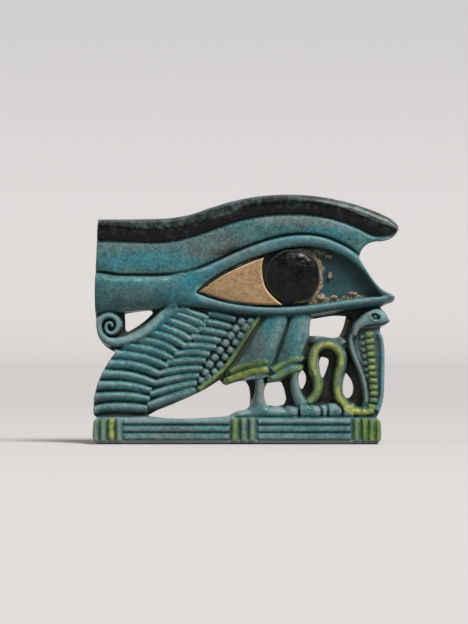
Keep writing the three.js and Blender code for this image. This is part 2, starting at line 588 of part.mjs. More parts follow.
// Bar under the feet: three reeds in each bay, and the cords that bind them, on a bar bevelled along its foot
function baseForms() {
  const profile = [
    [ROOT_DEPTH, 0], [BASE_DEPTH - BASE_BEVEL, 0], [BASE_DEPTH, BASE_BEVEL], [BASE_DEPTH, BASE_HEIGHT],
    [ROOT_DEPTH, BASE_HEIGHT],
  ];
  const ends = [-HALF_REACH, HALF_REACH];
  const bar = loft(ends.map((x) => profile.map(([depth, y]) => new THREE.Vector3(x, y, depth))));
  const acrossAt = (pixel) => spot([pixel, FOOT_PIXEL]).x;
  const edges = REED_EDGE_SHARES.map((share) => THREE.MathUtils.lerp(BASE_BEVEL, BASE_HEIGHT, share));
  const reeds = BAY_EDGE_PIXELS.flatMap((bay) =>
    edges.slice(1).map((lower, i) => {
      const rails = [edges[i] - REED_GAP / 2, lower + REED_GAP / 2].map((y) =>
        bay.map((pixel) => new THREE.Vector2(acrossAt(pixel), y)));
      return vault(rails, { spring: BASE_DEPTH, rise: REED_RISE });
    }));
  const bindings = BINDING_PIXELS.map((pixel) => {
    const rails = [1, -1].map((side) => {
      const x = acrossAt(pixel) + (side * BINDING_WIDTH) / 2;
      return [BASE_BEVEL, BASE_HEIGHT].map((y) => new THREE.Vector2(x, y));
    });
    return vault(rails, { spring: BASE_DEPTH, rise: BINDING_RISE });
  });
  return [bar, ...reeds, ...bindings];
}

// Outline of the iris grown by a margin: rounder than a square and squarer than an ellipse
function irisOutline(margin) {
  const centre = spot(IRIS_CENTRE_PIXEL);
  const halfWidth = IRIS_HALF_PIXELS[0] * MM_PER_PIXEL_ACROSS + margin;
  const halfHeight = IRIS_HALF_PIXELS[1] * MM_PER_PIXEL_UP + margin;
  const bulge = (value) => Math.sign(value) * Math.abs(value) ** (2 / IRIS_SQUARENESS);
  return Array.from({ length: IRIS_FACETS }, (_, k) => {
    const turn = (2 * Math.PI * k) / IRIS_FACETS;
    const [x, y] = [halfWidth * bulge(Math.cos(turn)), halfHeight * bulge(Math.sin(turn))];
    return new THREE.Vector2(centre.x + x, centre.y + y);
  });
}

// Outline of the eye's opening, moved inwards by a distance
function cellOutline(distance) {
  const points = outline(EYE_OPENING_PIXELS, OUTLINE_FACET_LENGTH);
  const side = THREE.ShapeUtils.isClockWise(points) ? -distance : distance;
  return points.map((p, i) => {
    const before = points[(i + points.length - 1) % points.length];
    const after = points[(i + 1) % points.length];
    const [arriving, leaving] = [p.clone().sub(before).normalize(), after.clone().sub(p).normalize()];
    const halving = new THREE.Vector2(-(arriving.y + leaving.y), arriving.x + leaving.x).normalize();
    const opening = Math.max(SHARPEST_CORNER_SHARE, halving.dot(new THREE.Vector2(-leaving.y, leaving.x)));
    return p.clone().addScaledVector(halving, side / opening);
  });
}

// The fired body: all that is raised stands on the web, and is trimmed to the pierced silhouette
function faiencePlaque() {
  const [back, front] = [-OVERRUN, TOP_DEPTH + OVERRUN];
  const web = block([-HALF_REACH, -OVERRUN], [HALF_REACH, FULL_REACH], 0, WEB_DEPTH);
  const raised = [...eyeForms(), ...wingForms(), coilForm(), ...legForms(), ...cobraForms(), ...baseForms()];
  const silhouette = bevelledSlab(outline(SILHOUETTE_PIXELS, OUTLINE_FACET_LENGTH), 0, front, BACK_BEVEL);
  const holes = Object.values(HOLE_PIXELS).map((rows) => slab(outline(rows, HOLE_FACET_LENGTH), back, front));
  const cell = slab(cellOutline(0), CELL_FLOOR_DEPTH, front);
  const irisSeat = slab(irisOutline(INLAY_GAP), CELL_FLOOR_DEPTH, front);
  const bore = new THREE.CylinderGeometry(BORE_WIDTH / 2, BORE_WIDTH / 2, 2 * HALF_REACH, BORE_FACETS);
  bore.rotateZ(Math.PI / 2);
  bore.translate(0, spot([MIDDLE_PIXEL, BORE_PIXEL]).y, BORE_DEPTH);
  const cobraEye = spot(COBRA_EYE_PIXEL);
  const brink = HEAD_SPRING + HEAD_RISE;
  const eyePit = new THREE.SphereGeometry(1, BEAD_FACETS, BEAD_FACETS / 2);
  eyePit.scale(EYE_PIT_WIDTH / 2, EYE_PIT_HEIGHT / 2, EYE_PIT_DEPTH);
  eyePit.translate(cobraEye.x, cobraEye.y, brink);
  const pupil = bead(cobraEye, PUPIL_WIDTH, PUPIL_WIDTH, { spring: brink - EYE_PIT_DEPTH, rise: PUPIL_RISE });
  return wasm.Manifold.union([web, ...raised])
    .intersect(silhouette)
    .subtract(wasm.Manifold.union([...holes, cell, irisSeat, solidFrom(bore), solidFrom(eyePit)]))
    .add(pupil);
}

// Everything of the eye's opening, less a margin, that lies left of the white's concave right edge
function whiteSolid(from, to, margin, bevel) {
  const right = stations(curveThrough(WHITE_RIGHT_PIXELS), LIMB_SEGMENTS);
  const corners = [0, FULL_REACH].map((y) => new THREE.Vector2(-HALF_REACH, y));
  const [below, above] = [from - OVERRUN, to + OVERRUN];
  const leftPart = slab([...right, ...corners], below, above);
  const iris = slab(irisOutline(INLAY_GAP + margin), below, above);
  const filling = cellOutline(INLAY_GAP + margin);
  const plate = bevel ? bevelledSlab(filling, from, to, bevel) : slab(filling, from, to);
  return plate.intersect(leftPart).subtract(iris);
}

// Bed of the iris: under the stone, and spread past it on the side of the empty corner
function irisBed() {
  const [from, to] = [BED_DEPTH, BED_DEPTH + IRIS_BED_THICKNESS];
  const start = spot(IRIS_CENTRE_PIXEL).x;
  const corner = block([start, 0], [HALF_REACH, FULL_REACH], from, to);
  const cell = slab(cellOutline(INLAY_GAP), from, to);
  const spread = slab(irisOutline(IRIS_BED_SPREAD), from, to).intersect(cell).intersect(corner);
  return spread.add(slab(irisOutline(-INLAY_GAP), from, to));
}

// Domed stone, widest at its spring and rounded over to its crown
function irisStone() {
  const centre = spot(IRIS_CENTRE_PIXEL);
  const rim = irisOutline(0);
  const ring = (share, depth) =>
    rim.map((p) => {
      const place = new THREE.Vector2().lerpVectors(centre, p, share);
      return new THREE.Vector3(place.x, place.y, depth);
    });
  const foot = BED_DEPTH + IRIS_BED_THICKNESS + BED_GAP;
  const dome = Array.from({ length: IRIS_RINGS }, (_, k) => {
    const turn = (Math.PI / 2) * ((k + 1) / IRIS_RINGS);
    return ring(Math.max(IRIS_CROWN_SHARE, Math.cos(turn)), IRIS_SPRING + IRIS_RISE * Math.sin(turn));
  });
  return loft([ring(IRIS_FOOT_SHARE, foot), ring(1, IRIS_SPRING), ...dome]);
}

// Crumb of mortar on the floor of the cell, clear of the iris and its bed
function crumb({ middleShare, halfShare, downPixel, halfPixels }) {
  const irisEdge = IRIS_CENTRE_PIXEL[0] + IRIS_HALF_PIXELS[0];
  const room = CANTHUS_PIXEL - irisEdge;
  const place = { at: [irisEdge + middleShare * room, downPixel], half: [halfShare * room, halfPixels] };
  const above = BED_DEPTH + CRUMB_EDGE + CRUMB_RISE + OVERRUN;
  const cell = slab(cellOutline(INLAY_GAP), BED_DEPTH, above);
  const iris = slab(irisOutline(IRIS_BED_SPREAD + INLAY_GAP), BED_DEPTH, above);
  const dome = { root: BED_DEPTH, spring: BED_DEPTH + CRUMB_EDGE, rise: CRUMB_RISE };
  return tracedBead(place, dome).intersect(cell).subtract(iris);
}

// Finish of each kind of piece
const FAIENCE = new THREE.MeshStandardMaterial({ color: 0x2f7378, roughness: 0.42, metalness: 0 });
const WHITE_STONE = new THREE.MeshStandardMaterial({ color: 0xb59468, roughness: 0.55, metalness: 0 });
const DARK_STONE = new THREE.MeshStandardMaterial({ color: 0x17171a, roughness: 0.22, metalness: 0 });
const MORTAR = new THREE.MeshStandardMaterial({ color: 0xa58a63, roughness: 0.95, metalness: 0 });

// Mesh of a solid, under the name of its piece
function piece(name, solid, material) {
  const { numProp, vertProperties, triVerts } = solid.getMesh();
  const positions = new THREE.InterleavedBuffer(vertProperties, numProp);
  const geometry = new THREE.BufferGeometry();
  geometry.setAttribute("position", new THREE.InterleavedBufferAttribute(positions, 3, 0));
  geometry.setIndex(new THREE.BufferAttribute(triVerts, 1));
  const mesh = new THREE.Mesh(geometry, material);
  mesh.name = name;
  return mesh;
}

// The amulet, turned to stand on its base with its face towards -Y and its middle depth over the origin
const whiteFoot = BED_DEPTH + WHITE_BED_THICKNESS;
const amulet = new THREE.Group();
amulet.add(
  piece("faience_plaque", faiencePlaque(), FAIENCE),
  piece("white_inlay", whiteSolid(whiteFoot + BED_GAP, WHITE_TOP_DEPTH, 0, WHITE_BEVEL), WHITE_STONE),
  piece("white_inlay_bed", whiteSolid(BED_DEPTH, whiteFoot, INLAY_GAP, 0), MORTAR),
  piece("iris_inlay", irisStone(), DARK_STONE),
  piece("iris_bed", irisBed(), MORTAR),
  ...CRUMBS.map((row) => piece(row.name, crumb(row), MORTAR)),
);
amulet.rotation.x = Math.PI / 2;
amulet.position.y = TOP_DEPTH / 2;

export default amulet;
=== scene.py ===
"""Looks of a pierced wedjat eye amulet around its CAD frame: glazed plaque, inlaid stones and their mortar.

The plaque and the inlays are modelled as fine reliefs. Places come from outlines drawn in pixels of the
photograph. Lengths of the model are in millimetres until a mesh is made, and meshes are in metres.
"""

import logging
import math
from dataclasses import dataclass, field
from enum import Enum
from functools import reduce
from itertools import product
from typing import Any, Sequence, Union

import bpy
import numpy as np
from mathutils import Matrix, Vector


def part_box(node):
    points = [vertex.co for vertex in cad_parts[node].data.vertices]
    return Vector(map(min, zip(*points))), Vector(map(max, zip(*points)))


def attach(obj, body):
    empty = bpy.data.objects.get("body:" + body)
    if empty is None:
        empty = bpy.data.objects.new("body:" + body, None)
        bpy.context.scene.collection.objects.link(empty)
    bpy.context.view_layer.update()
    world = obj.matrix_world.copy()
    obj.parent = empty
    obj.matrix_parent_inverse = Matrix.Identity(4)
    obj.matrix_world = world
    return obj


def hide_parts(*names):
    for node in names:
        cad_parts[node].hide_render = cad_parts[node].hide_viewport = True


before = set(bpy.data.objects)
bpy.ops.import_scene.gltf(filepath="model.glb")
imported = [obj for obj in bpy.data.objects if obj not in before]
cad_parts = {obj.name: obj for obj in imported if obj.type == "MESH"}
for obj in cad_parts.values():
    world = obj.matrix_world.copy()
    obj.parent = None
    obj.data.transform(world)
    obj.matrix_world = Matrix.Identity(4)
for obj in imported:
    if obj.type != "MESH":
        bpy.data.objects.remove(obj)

Array = np.ndarray
Point = tuple[float, float]
Pixels = Sequence[Point]
Part = tuple[slice, slice]
Colour = tuple[float, float, float]
Socket = bpy.types.NodeSocket
Value = Union[float, tuple, Socket]

log = logging.getLogger("amulet")

MM = 0.001
LEFT_PIXEL, RIGHT_PIXEL, TOP_PIXEL, FOOT_PIXEL = 92.5, 399.0, 194.2, 444.4
PHOTO_WIDTH = 468
AMULET_WIDTH, AMULET_HEIGHT, AMULET_DEPTH = 68.0, 55.5, 8.3
MIDDLE_PIXEL = (LEFT_PIXEL + RIGHT_PIXEL) / 2
MM_PER_PIXEL_ACROSS = AMULET_WIDTH / (RIGHT_PIXEL - LEFT_PIXEL)
MM_PER_PIXEL_UP = AMULET_HEIGHT / (FOOT_PIXEL - TOP_PIXEL)
BACK_Y = AMULET_DEPTH / 2
EVERYWHERE = (slice(None), slice(None))
NOISE_CELLS, NOISE_SHIFT = 64, (17.3, 9.1)
SPLINE_SPANS = (((0, 1), (1, 2), (2, 3)), ((0, 2), (1, 3)), ((1, 2),))
COLOUR_SOCKET, NUMBER_SOCKET = "NodeSocketColor", "NodeSocketFloat"


class Paint(Enum):
    """What is painted on, or has gathered on, the plaque, with its painted shade and highlights. Each is a
    mask stored with the mesh.
    """

    BLACK = "black"
    GREEN = "green"
    YELLOW = "yellow"
    BLUE = "blue"
    GREY = "grey"
    DIRT = "dirt"
    MORTAR = "mortar"
    SANDY = "sandy"
    # Painted shadow in the eye's cell, and under the lower lid and the cosmetic band.
    DIM = "dim"
    LINE = "line"
    # Painted shade in patches, on the throat's small ribs and on the tail's right flank.
    SHADE = "shade"
    # Hollows, which take painted shade with dirt and dust.
    HOLLOW = "hollow"
    # Crests, which are worn pale and take painted highlights.
    CREST = "crest"
    # The sunken web, which takes painted shadow mixed with brown earth.
    RECESS = "recess"


NO_DIRT = {Paint.DIRT: 0.0}
CLEAN = {Paint.DIRT: 0.0, Paint.GREEN: 0.0}

# The traced lines, as (across, down) in pixels of the photograph. An outline's stretches are smooth and meet
# in corners, and each starts where the one before it ends.
SILHOUETTE = (
    ((120, 219), (150, 218.6), (172, 217.6), (190, 214.3), (210, 207.6), (232, 201), (256, 196.3),
     (284, 194.2), (308, 195), (332, 198.4), (356, 204.3), (378, 212.2), (392, 219)),
    ((398, 224.4), (399, 229.6), (393, 237.4), (384, 240.8), (374, 241.6), (366, 245), (361, 251),
     (359, 258)),
    ((366, 269.5), (374, 281), (383, 289.8), (391, 293.6)),
    ((395.6, 297), (393.4, 301.8), (386, 304.6), (380.5, 307.5)),
    ((384.5, 311.5), (388, 317), (390.4, 321)),
    ((386.5, 324.6), (381.5, 327), (380, 330.5)),
    ((383, 338), (384.6, 352), (384.6, 378), (383.6, 398), (380.6, 410), (376.6, 417.6)),
    ((380, 421), (381.2, 430), (380.6, 440), (377, 444.4)),
    ((308, 443.8),),
    ((169, 443.8),),
    ((100, 444.4),),
    ((95, 442), (92.5, 436), (92.9, 428), (94, 420.6), (96.8, 418)),
    ((93.6, 415), (93.2, 406), (95, 392), (99.6, 378), (107, 364), (114.6, 352.6)),
    ((108, 348.6), (102, 343.5), (98, 336), (96, 326), (95.2, 316)),
    ((94.6, 300), (95, 280), (96.2, 258), (97, 236), (98, 219)),
)
OPENINGS = (
    (((137, 312), (150.4, 310.6)),
     ((152.6, 312.6), (147, 318.8), (140, 324.4), (133, 329), (127.6, 332)),
     ((125.4, 330.6), (124.8, 322), (124.6, 314))),
    (((156, 411.2), (172, 404.8), (190, 397), (204, 390), (219.6, 380.4)),
     ((222.6, 384.2), (226, 385.8)),
     ((236, 382.4), (244.6, 381)),
     ((248.4, 386), (250.2, 398), (249.6, 406)),
     ((246, 409.6), (238, 411), (232.4, 413.8), (229, 416.4)),
     ((208, 418), (186, 419), (164, 418.4), (147.4, 416.2))),
    (((274, 382.6), (281.4, 382.4)),
     ((284.4, 390), (286, 400), (283.6, 405)),
     ((275, 406.6), (266.6, 405)),
     ((264.2, 397), (264.6, 389), (267, 383.6))),
    (((322, 317.6), (334, 316), (346.6, 316.2)),
     ((343.4, 328), (339.4, 337)),
     ((334, 338), (320, 336.2), (309.6, 336)),
     ((310, 327), (311, 319.4))),
    (((305.8, 375), (306, 382), (302, 389.6), (299.4, 385), (299.2, 375), (302.8, 370.4)),),
    (((328.6, 359.4), (327.4, 368), (322.6, 378.4), (320.6, 371), (319.4, 362),
      (321.4, 356.8)),),
    (((350.6, 378.6), (353.6, 387), (352, 395.6), (348, 398.6), (344, 394), (343.6, 384),
      (346, 372.8)),),
)
BROW_RAILS = (
    ((88, 219.8), (120, 219.4), (150, 219), (172, 217.8), (190, 214.6), (210, 208), (232, 201.4),
     (256, 196.6), (284, 194.4), (308, 195.2), (332, 198.6), (356, 204.6),
     (378, 212.4), (391, 218.6), (398.4, 226)),
    ((88, 240.4), (120, 241.4), (150, 242.4), (168, 241.8), (186, 238.4), (204, 233), (224, 225.8),
     (246, 219), (270, 215.4), (294, 214.4), (316, 215.8), (338, 220.4),
     (358, 228), (374, 235.4), (396, 234)),
)
UPPER_LID_RAILS = (
    ((176, 273.6), (190, 270.6), (204, 266), (218, 260), (234, 252.6), (252, 245.2), (272, 238.6), (292, 235),
     (308, 234.4), (324, 237), (340, 243), (352, 249.8), (361, 257.4), (368, 268.6), (376, 280), (385, 288.6),
     (394.6, 296)),
    ((184, 300), (198.4, 292.2), (214, 278.6), (232, 268.4), (252, 259.6), (270, 253.8), (288, 249.2),
     (306, 247.4), (322, 249.2), (338, 254.6), (351, 262), (361, 271.2), (369, 281), (376, 290), (386, 298)),
)
LOWER_LID_RAILS = (
    ((182, 284), (198.4, 292.2), (212, 297.2), (230, 302), (250, 304.8), (270, 306), (290, 305.8),
     (310, 304.2), (334, 301), (358, 297.6), (380, 295.2), (392, 292.6)),
    ((180, 307.2), (200, 308.4), (216, 311.2), (236, 314.4), (258, 316.8), (280, 317.8), (300, 316.8),
     (320, 314), (342, 310.4), (364, 307.6), (384, 305), (395.4, 300)),
)
TAIL_BAND_RAILS = (
    ((88, 271), (104, 272.4), (116, 274.4), (140, 274.8), (165, 274.6), (180, 273), (202, 268)),
    ((88, 313.8), (110, 312.6), (130, 311), (150, 309.4), (170, 307.8), (186, 307), (203, 308.4)),
)
LID_GROOVE = ((90, 271.4), (104, 272.2), (116, 274.2), (140, 274.8), (165, 274.4), (180, 272.6), (190, 270.6),
              (204, 266), (218, 259.6), (234, 252), (252, 244.8), (272, 238.4), (292, 234.6), (308, 234.2),
              (324, 236.6), (340, 242.8), (352, 249.6), (361, 257.4))
EYE_BLOCK = (
    (*TAIL_BAND_RAILS[1][1:4], (172, 307.6), (190, 307), (210, 310.2), *LOWER_LID_RAILS[1][3:10],
     (384, 305.4), (404, 305.4)),
    ((404, 180),), ((84, 180),), ((84, 313.8),),
)
EYE_OPENING = (((206, 284.6), (216, 277.4), *UPPER_LID_RAILS[1][3:12], (380, 295.2)),
               LOWER_LID_RAILS[0][9:0:-1])
IRIS_CENTRE, IRIS_HALF, IRIS_SQUARENESS = (292.8, 275.8), (27.5, 26.2), 2.15
IRIS_WOBBLE = ((0.012, 3, 0.7), (0.01, 5, 2.1), (0.006, 9, 0.0))
WHITE_RIGHT = ((272, 240), (262.6, 262), (262.4, 275), (266, 288), (274, 297.6), (283.6, 305.6), (298, 316))
WHITE_LEFT = ((160, 330), (160, 230))
THIGH_RAILS = (
    (((266, 315), (256, 332), (245, 350), (228, 375), (222, 384)),
     ((290, 315), (284, 334), (277, 353), (270, 377))),
    (((291, 315), (285, 336), (278, 356), (270, 381)),
     ((311, 315), (309.6, 335), (304, 350), (298, 372))),
)
LEG_RAILS = (
    (((254.4, 372), (254.6, 394), (251, 404), (246, 411)),
     ((264.8, 372), (264.4, 394), (268, 404), (274, 411))),
    (((289.6, 368), (290, 386), (293.4, 399), (297, 410), (303, 418)),
     ((299.4, 368), (299.6, 386), (303.8, 397), (311, 404.6), (321, 416))),
)
FOOT_RAILS = (
    ((231, 416), (238, 411.6), (248, 409.8), (258, 406.6), (270, 407.6), (282, 408.4), (296, 415)),
    ((231, 418.6), (244, 418.6), (258, 418.6), (270, 418.6), (282, 418.6), (296, 418.6)),
)
FOOTING_RAILS = (((300, 402), (310, 404.4), (322, 406), (334, 403.4), (346, 403.6), (353.6, 409)),
                 ((300, 419), (322, 419), (340, 419), (354, 419)))
TOE_GROOVES = (((318, 404), (321.6, 410), (321, 418)), ((327, 404), (328, 410), (327.4, 418)),
               ((337.6, 403), (342.6, 410), (341.4, 418)))
HEAD_RAILS = (
    ((351.6, 335), (354, 326), (361, 317.6), (369, 311.4), (377, 308.4), (384.4, 311.4), (391, 321)),
    ((357, 336), (360, 330), (367, 328.4), (374, 327.8), (381, 326.2), (386, 324.4), (391, 321.6)),
)
COIL_LINE = (
    (178, 306), (172.6, 309.8), (165, 316), (155, 325.6), (144, 333.6), (131, 339.6), (119, 342.2),
    (109, 341), (102, 335.6), (98.8, 328), (99.8, 321), (105, 316.4), (111.4, 315.8), (116.4, 319.4),
    (118, 325.6), (115.2, 331.6), (110.4, 333.4), (106.4, 330.6), (106, 325.4), (109.2, 322.6),
    (112.2, 324.6), (111.4, 327.8),
)
LEADING_EDGE = ((260, 316), (251, 329.6), (243, 342), (235, 354.6), (226, 367), (214, 378), (198, 390))
HEMS = (
    ((229, 373.4), (238, 368.6), (252, 365), (269, 362)),
    ((227, 381), (238, 376.6), (252, 372.4), (269, 369.8)),
    ((272, 371.6), (280, 367), (290, 361.6), (300, 358.4)),
    ((271, 379.6), (280, 375), (289, 371), (298.6, 368)),
)
TAIL_LOOP = ((308, 404), (314.6, 397), (318, 389), (317.4, 379), (314, 370), (312.6, 361), (314.4, 352),
             (320, 346), (328, 344), (336, 347), (341.6, 354.6), (341.8, 365), (339, 376), (338, 388),
             (340, 398), (346, 406.4), (354, 411.4), (364, 412.6), (374, 410))
HOOD_RIMS = (
    ((355.6, 331), (351.4, 338), (351.4, 347), (355, 358), (360, 370), (364, 382), (366, 394), (366, 404)),
    ((378.6, 332), (382, 339), (383, 352), (382.8, 378), (381.8, 398), (377.4, 412)),
)
THROAT = ((369, 335), (370.4, 350), (372, 366), (373.4, 382), (374, 396), (372, 407))
PRIMARIES = (
    ((179, 309.6), (194, 314.6), (207, 319)), ((171, 314), (190, 320.2), (204, 326.6)),
    ((163, 319.2), (183, 326.6), (198, 332.6)), ((155, 325.2), (175, 332.6), (190, 340)),
    ((146, 332), (167, 338.2), (183, 345.6)), ((135, 339), (159, 344.6), (176, 352.6)),
    ((122, 346), (150, 351), (172, 359)), ((113, 353.8), (142, 358.2), (167, 367)),
    ((107, 364), (134, 366), (160, 374.6)), ((100, 374.2), (128, 376), (153.6, 383)),
    ((95, 385.6), (124, 386), (150.4, 390.6)), ((92, 398), (120, 396.4), (148.6, 399)),
    ((92, 411.6), (108, 407.8), (146, 408)),
)
COVERTS = (
    ((208, 313.4), (222, 316), (236, 319.4)), ((203, 321.8), (217, 324.4), (231.6, 327.6)),
    ((198, 329.6), (212, 332), (227, 334.6)), ((191, 337.2), (206, 339.4), (221.4, 341.4)),
    ((182, 346.4), (199, 346.6), (216.4, 348)), ((174, 355), (192, 353.4), (210, 354.6)),
    ((166.6, 364), (186, 361.2), (206, 361)), ((160, 373.6), (182, 370), (203, 368.6)),
    ((154, 384), (178, 379), (200, 375.8)), ((150, 395), (174, 388.4), (197.4, 382.8)),
    ((147.6, 406), (172, 397.6), (196, 389.8)),
)
SCALE_ROWS = (
    ((241.4, 321.6), (229.6, 337), (218.4, 353), (208.6, 367), (202, 381)),
    ((250.6, 321), (240.4, 336.4), (229.4, 351.6), (219, 366.4), (208.4, 378)),
)
TOES = (((292.4, 412.4), (6.4, 5.6)), ((240, 414.6), (7, 4)))
MOUTH = ((389, 321.8), (382, 324), (372, 325.6), (364, 327))
TAIL_BROW = ((308, 341), (316, 339.6), (327, 338.4), (338, 340), (345.4, 345))
TAIL_LUMPS = (((350.6, 408.2), 0.5), ((357.4, 411.4), 0.9), ((364.4, 411.6), 0.7), ((371, 410.6), 0.3))
BROWN_EDGES = (((311.6, 334), (307.4, 344), (302.4, 356)), ((348, 318), (344.6, 328), (341, 337)))
THIGH_FLOOR = (((246, 336), (236, 356), (222, 380)), ((246, 379), (270, 377)),
               ((285, 373), (300, 368)), ((308, 346), (312, 312)), ((256, 312),))
HOOD_HATCHES = (
    ((357, 332), (354.6, 341), (356.4, 353), (361, 366), (364.6, 379), (366.6, 392)),
    ((360, 332), (358, 341), (360, 353), (364, 366), (367, 379), (368.2, 392)),
    ((363, 332), (361.6, 341), (363.4, 353), (366.6, 366), (368.4, 379)),
    ((366, 333), (365, 341), (366.4, 353), (368.4, 366)),
)
COBRA_EYE = (375.4, 316.8)
WING_FIELD = (
    ((165, 320), (150, 333), (135, 341.6), (120, 347), (104, 352)),
    ((84, 380), (84, 416)),
    ((120, 416.4), (147, 414)),
    ((150, 411), (170, 405), (190, 396.4), (206, 388.4), (221, 378.4)),
    ((234, 365.4), (246, 349), (266, 316)),
    ((266, 306), (176, 306)),
)
HOOD_FIELD = (
    ((352, 334), (350, 343), (353, 355), (359, 369), (363.6, 383), (365, 395), (362, 409)),
    ((372, 418), (380, 416), (388, 396), (388, 352), (386, 336), (378, 326)),
    ((358, 326),),
)
BAYS = ((122.6, 230.4), (257, 351.6))
BINDINGS = (95.4, 103, 111.4, 119, 234.6, 243.6, 252.2, 356.6, 364.8, 371.6, 378.4)
# Strokes: a line, its width in millimetres and its strength.
# Painted shadows: under the lower lid, under the cosmetic band and over the coil's root.
PAINTED_SHADOW_LINES = (
    (((198, 305), (230, 311.2), (260, 314.4), (290, 314.6), (320, 311.6), (350, 307.4), (382, 303)),
     1.5, 0.9),
    (((96, 306), (130, 304.6), (160, 302.6), (184, 302)), 2.6, 0.55),
    (((96, 297), (140, 295), (176, 292)), 3.6, 0.3),
    (((164, 307.4), (178, 306), (192, 306.4), (204, 309)), 1.1, 1.0),
)
# Painted highlights: lit rims and strips on the brow, forehead, lids, thighs, shins, feet, throat and hood.
PAINTED_HIGHLIGHT_LINES = (
    (((338, 201.6), (360, 207.6), (380, 215), (393, 222)), 3.2, 0.9),
    (((98, 221.2), (133, 221.8), (156, 222.4), (178, 220), (192, 216.8), (206, 212.2)), 0.6, 1.4),
    (((283, 322), (279, 334), (275, 344)), 4.2, 0.72),
    (((303, 320), (301, 330), (299, 338)), 3.4, 0.62),
    (((262, 220.6), (296, 219.4), (322, 222.6), (350, 231)), 3.6, 0.62),
    (((216, 302.4), (250, 307.6), (276, 308.6), (300, 306.6)), 1.5, 1.25),
    (((371, 332), (373, 370), (375.4, 406)), 4.6, 0.75),
    (((382, 334), (384, 370), (384, 400)), 2.4, 0.6),
    (((352, 334), (357, 356), (364, 392)), 2.6, 0.45),
    (((236, 412), (262, 410)), 5.0, 0.4),
    (((298, 408), (320, 410), (340, 410)), 5.0, 0.4),
    (((200, 263), (226, 252), (250, 243.6)), 1.6, 0.25),
    (((263, 384), (262.6, 395)), 1.0, 0.8),
    (((298, 303.4), (330, 300.6), (352, 297.6), (368, 295.4)), 0.9, 0.9),
    (((262, 380), (261.6, 395), (262, 403)), 1.2, 0.7),
    (((98, 220.4), (180, 218.4)), 0.6, 0.8),
    (((197.6, 291), (214, 277.6), (232, 267.4), (250, 259.4)), 0.5, 0.5),
)
GLOSSY_LINES = (
    (((182, 284), (214, 269.6), (246, 253.6), (271.6, 245), (297, 241.8), (322.8, 245), (348.4, 256.8),
      (367.6, 272.8)), 3.4, 0.35),
    (((196, 300), (228, 309.6), (262, 312.6), (300, 311.6), (340, 307), (380, 301.6)), 3.4, 0.0),
)

# Patches: the middle and the half size of an ellipse in pixels, and its strength.
BLUE_PATCHES = (
    ((158, 260), (40, 9), 1.5), ((118, 264), (20, 8), 1.2), ((330, 230), (34, 9), 1.0),
    ((262, 309), (60, 6), 0.9), ((186, 298), (26, 10), 1.6), ((215, 268), (30, 9), 1.5),
    ((150, 282), (40, 3.5), 0.8), ((160, 326), (16, 12), 0.8), ((268, 330), (6, 14), 0.9),
    ((297, 335), (6, 16), 0.6), ((383, 360), (4, 40), 1.0), ((120, 362), (40, 40), 0.5),
)
GREY_PATCHES = (
    ((216, 246), (34, 13), 1.5), ((135, 245), (46, 5), 0.8), ((130, 300), (36, 12), 0.35),
    ((256, 345), (14, 20), 0.8), ((300, 222), (40, 6), 0.8), ((170, 432), (34, 8), 0.7),
    ((362, 360), (8, 30), 0.7), ((260, 392), (8, 20), 0.6),
)
# Painted shade: patches on the thighs, the left sides of the shins, under a hem, by the cobra's head and at
# the wing's edge.
SHADE_PATCHES = (
    ((247, 350), (15, 22), 0.9), ((283, 350), (8, 16), 0.7), ((365, 319), (10, 8), 0.35),
    ((228, 345), (16, 30), 0.3), ((255, 395), (3, 14), 0.8), ((289, 385), (4, 18), 0.9),
    ((238, 377), (10, 6), 0.4), ((100, 400), (8, 30), 0.35),
)
MORTAR_SMEARS = (
    ((319, 252.6), (8, 3), 0.9), ((323, 268), (3, 7), 0.75), ((315, 299), (13, 5), 1.3),
    ((332, 299.8), (12, 2.6), 1.0), ((353, 297), (13, 2.4), 1.0), ((200, 292), (4, 3), 0.9),
    ((321, 284), (3, 9), 0.7),
)


def place(pixels: Pixels) -> Array:
    """Points of the drawing as places on the amulet.

    Args:
        pixels: points as (across, down) in the photograph.

    Returns:
        An array of (x, height) in millimetres, one row a point.
    """
    points = np.asarray(pixels, float)
    across = (points[:, 0] - MIDDLE_PIXEL) * MM_PER_PIXEL_ACROSS
    return np.stack([across, (FOOT_PIXEL - points[:, 1]) * MM_PER_PIXEL_UP], axis=1)


def spot(pixel: Point) -> Array:
    """One point of the drawing as a place (x, height), in millimetres."""
    return place([pixel])[0]


def in_mm(size: Point) -> Point:
    """A size in pixels of the drawing, across and up, in millimetres."""
    return size[0] * MM_PER_PIXEL_ACROSS, size[1] * MM_PER_PIXEL_UP


def curve(pixels: Pixels, step: float = 0.6) -> Array:
    """Smooth line through points of the drawing (a centripetal Catmull-Rom spline).

    Args:
        pixels: points as (across, down) in the photograph.
        step: about how long each straight piece is, in millimetres.

    Returns:
        Places along the line in millimetres, ends included.
    """
    knots = place(pixels)
    if len(knots) == 2:
        return knots
    knots = np.vstack([2 * knots[0] - knots[1], knots, 2 * knots[-1] - knots[-2]])
    made = []
    for points in zip(knots, knots[1:], knots[2:], knots[3:]):
        gaps = [float(np.linalg.norm(b - a)) for a, b in zip(points, points[1:])]
        t = np.cumsum([0, *np.sqrt(gaps)])
        now = np.linspace(t[1], t[2], max(2, round(gaps[1] / step)), endpoint=False)[:, None]
        for spans in SPLINE_SPANS:
            points = [(t[j] - now) / (t[j] - t[i]) * a + (now - t[i]) / (t[j] - t[i]) * b
                      for (i, j), a, b in zip(spans, points, points[1:])]
        made.append(points[0])
    return np.vstack([*made, knots[-2:-1]])


def outline(stretches: Sequence[Pixels]) -> Array:
    """Closed outline in millimetres, from stretches that each start where the one before ends."""
    return np.vstack([curve((before[-1], *stretch))[:-1]
                      for before, stretch in zip((stretches[-1], *stretches), stretches)])


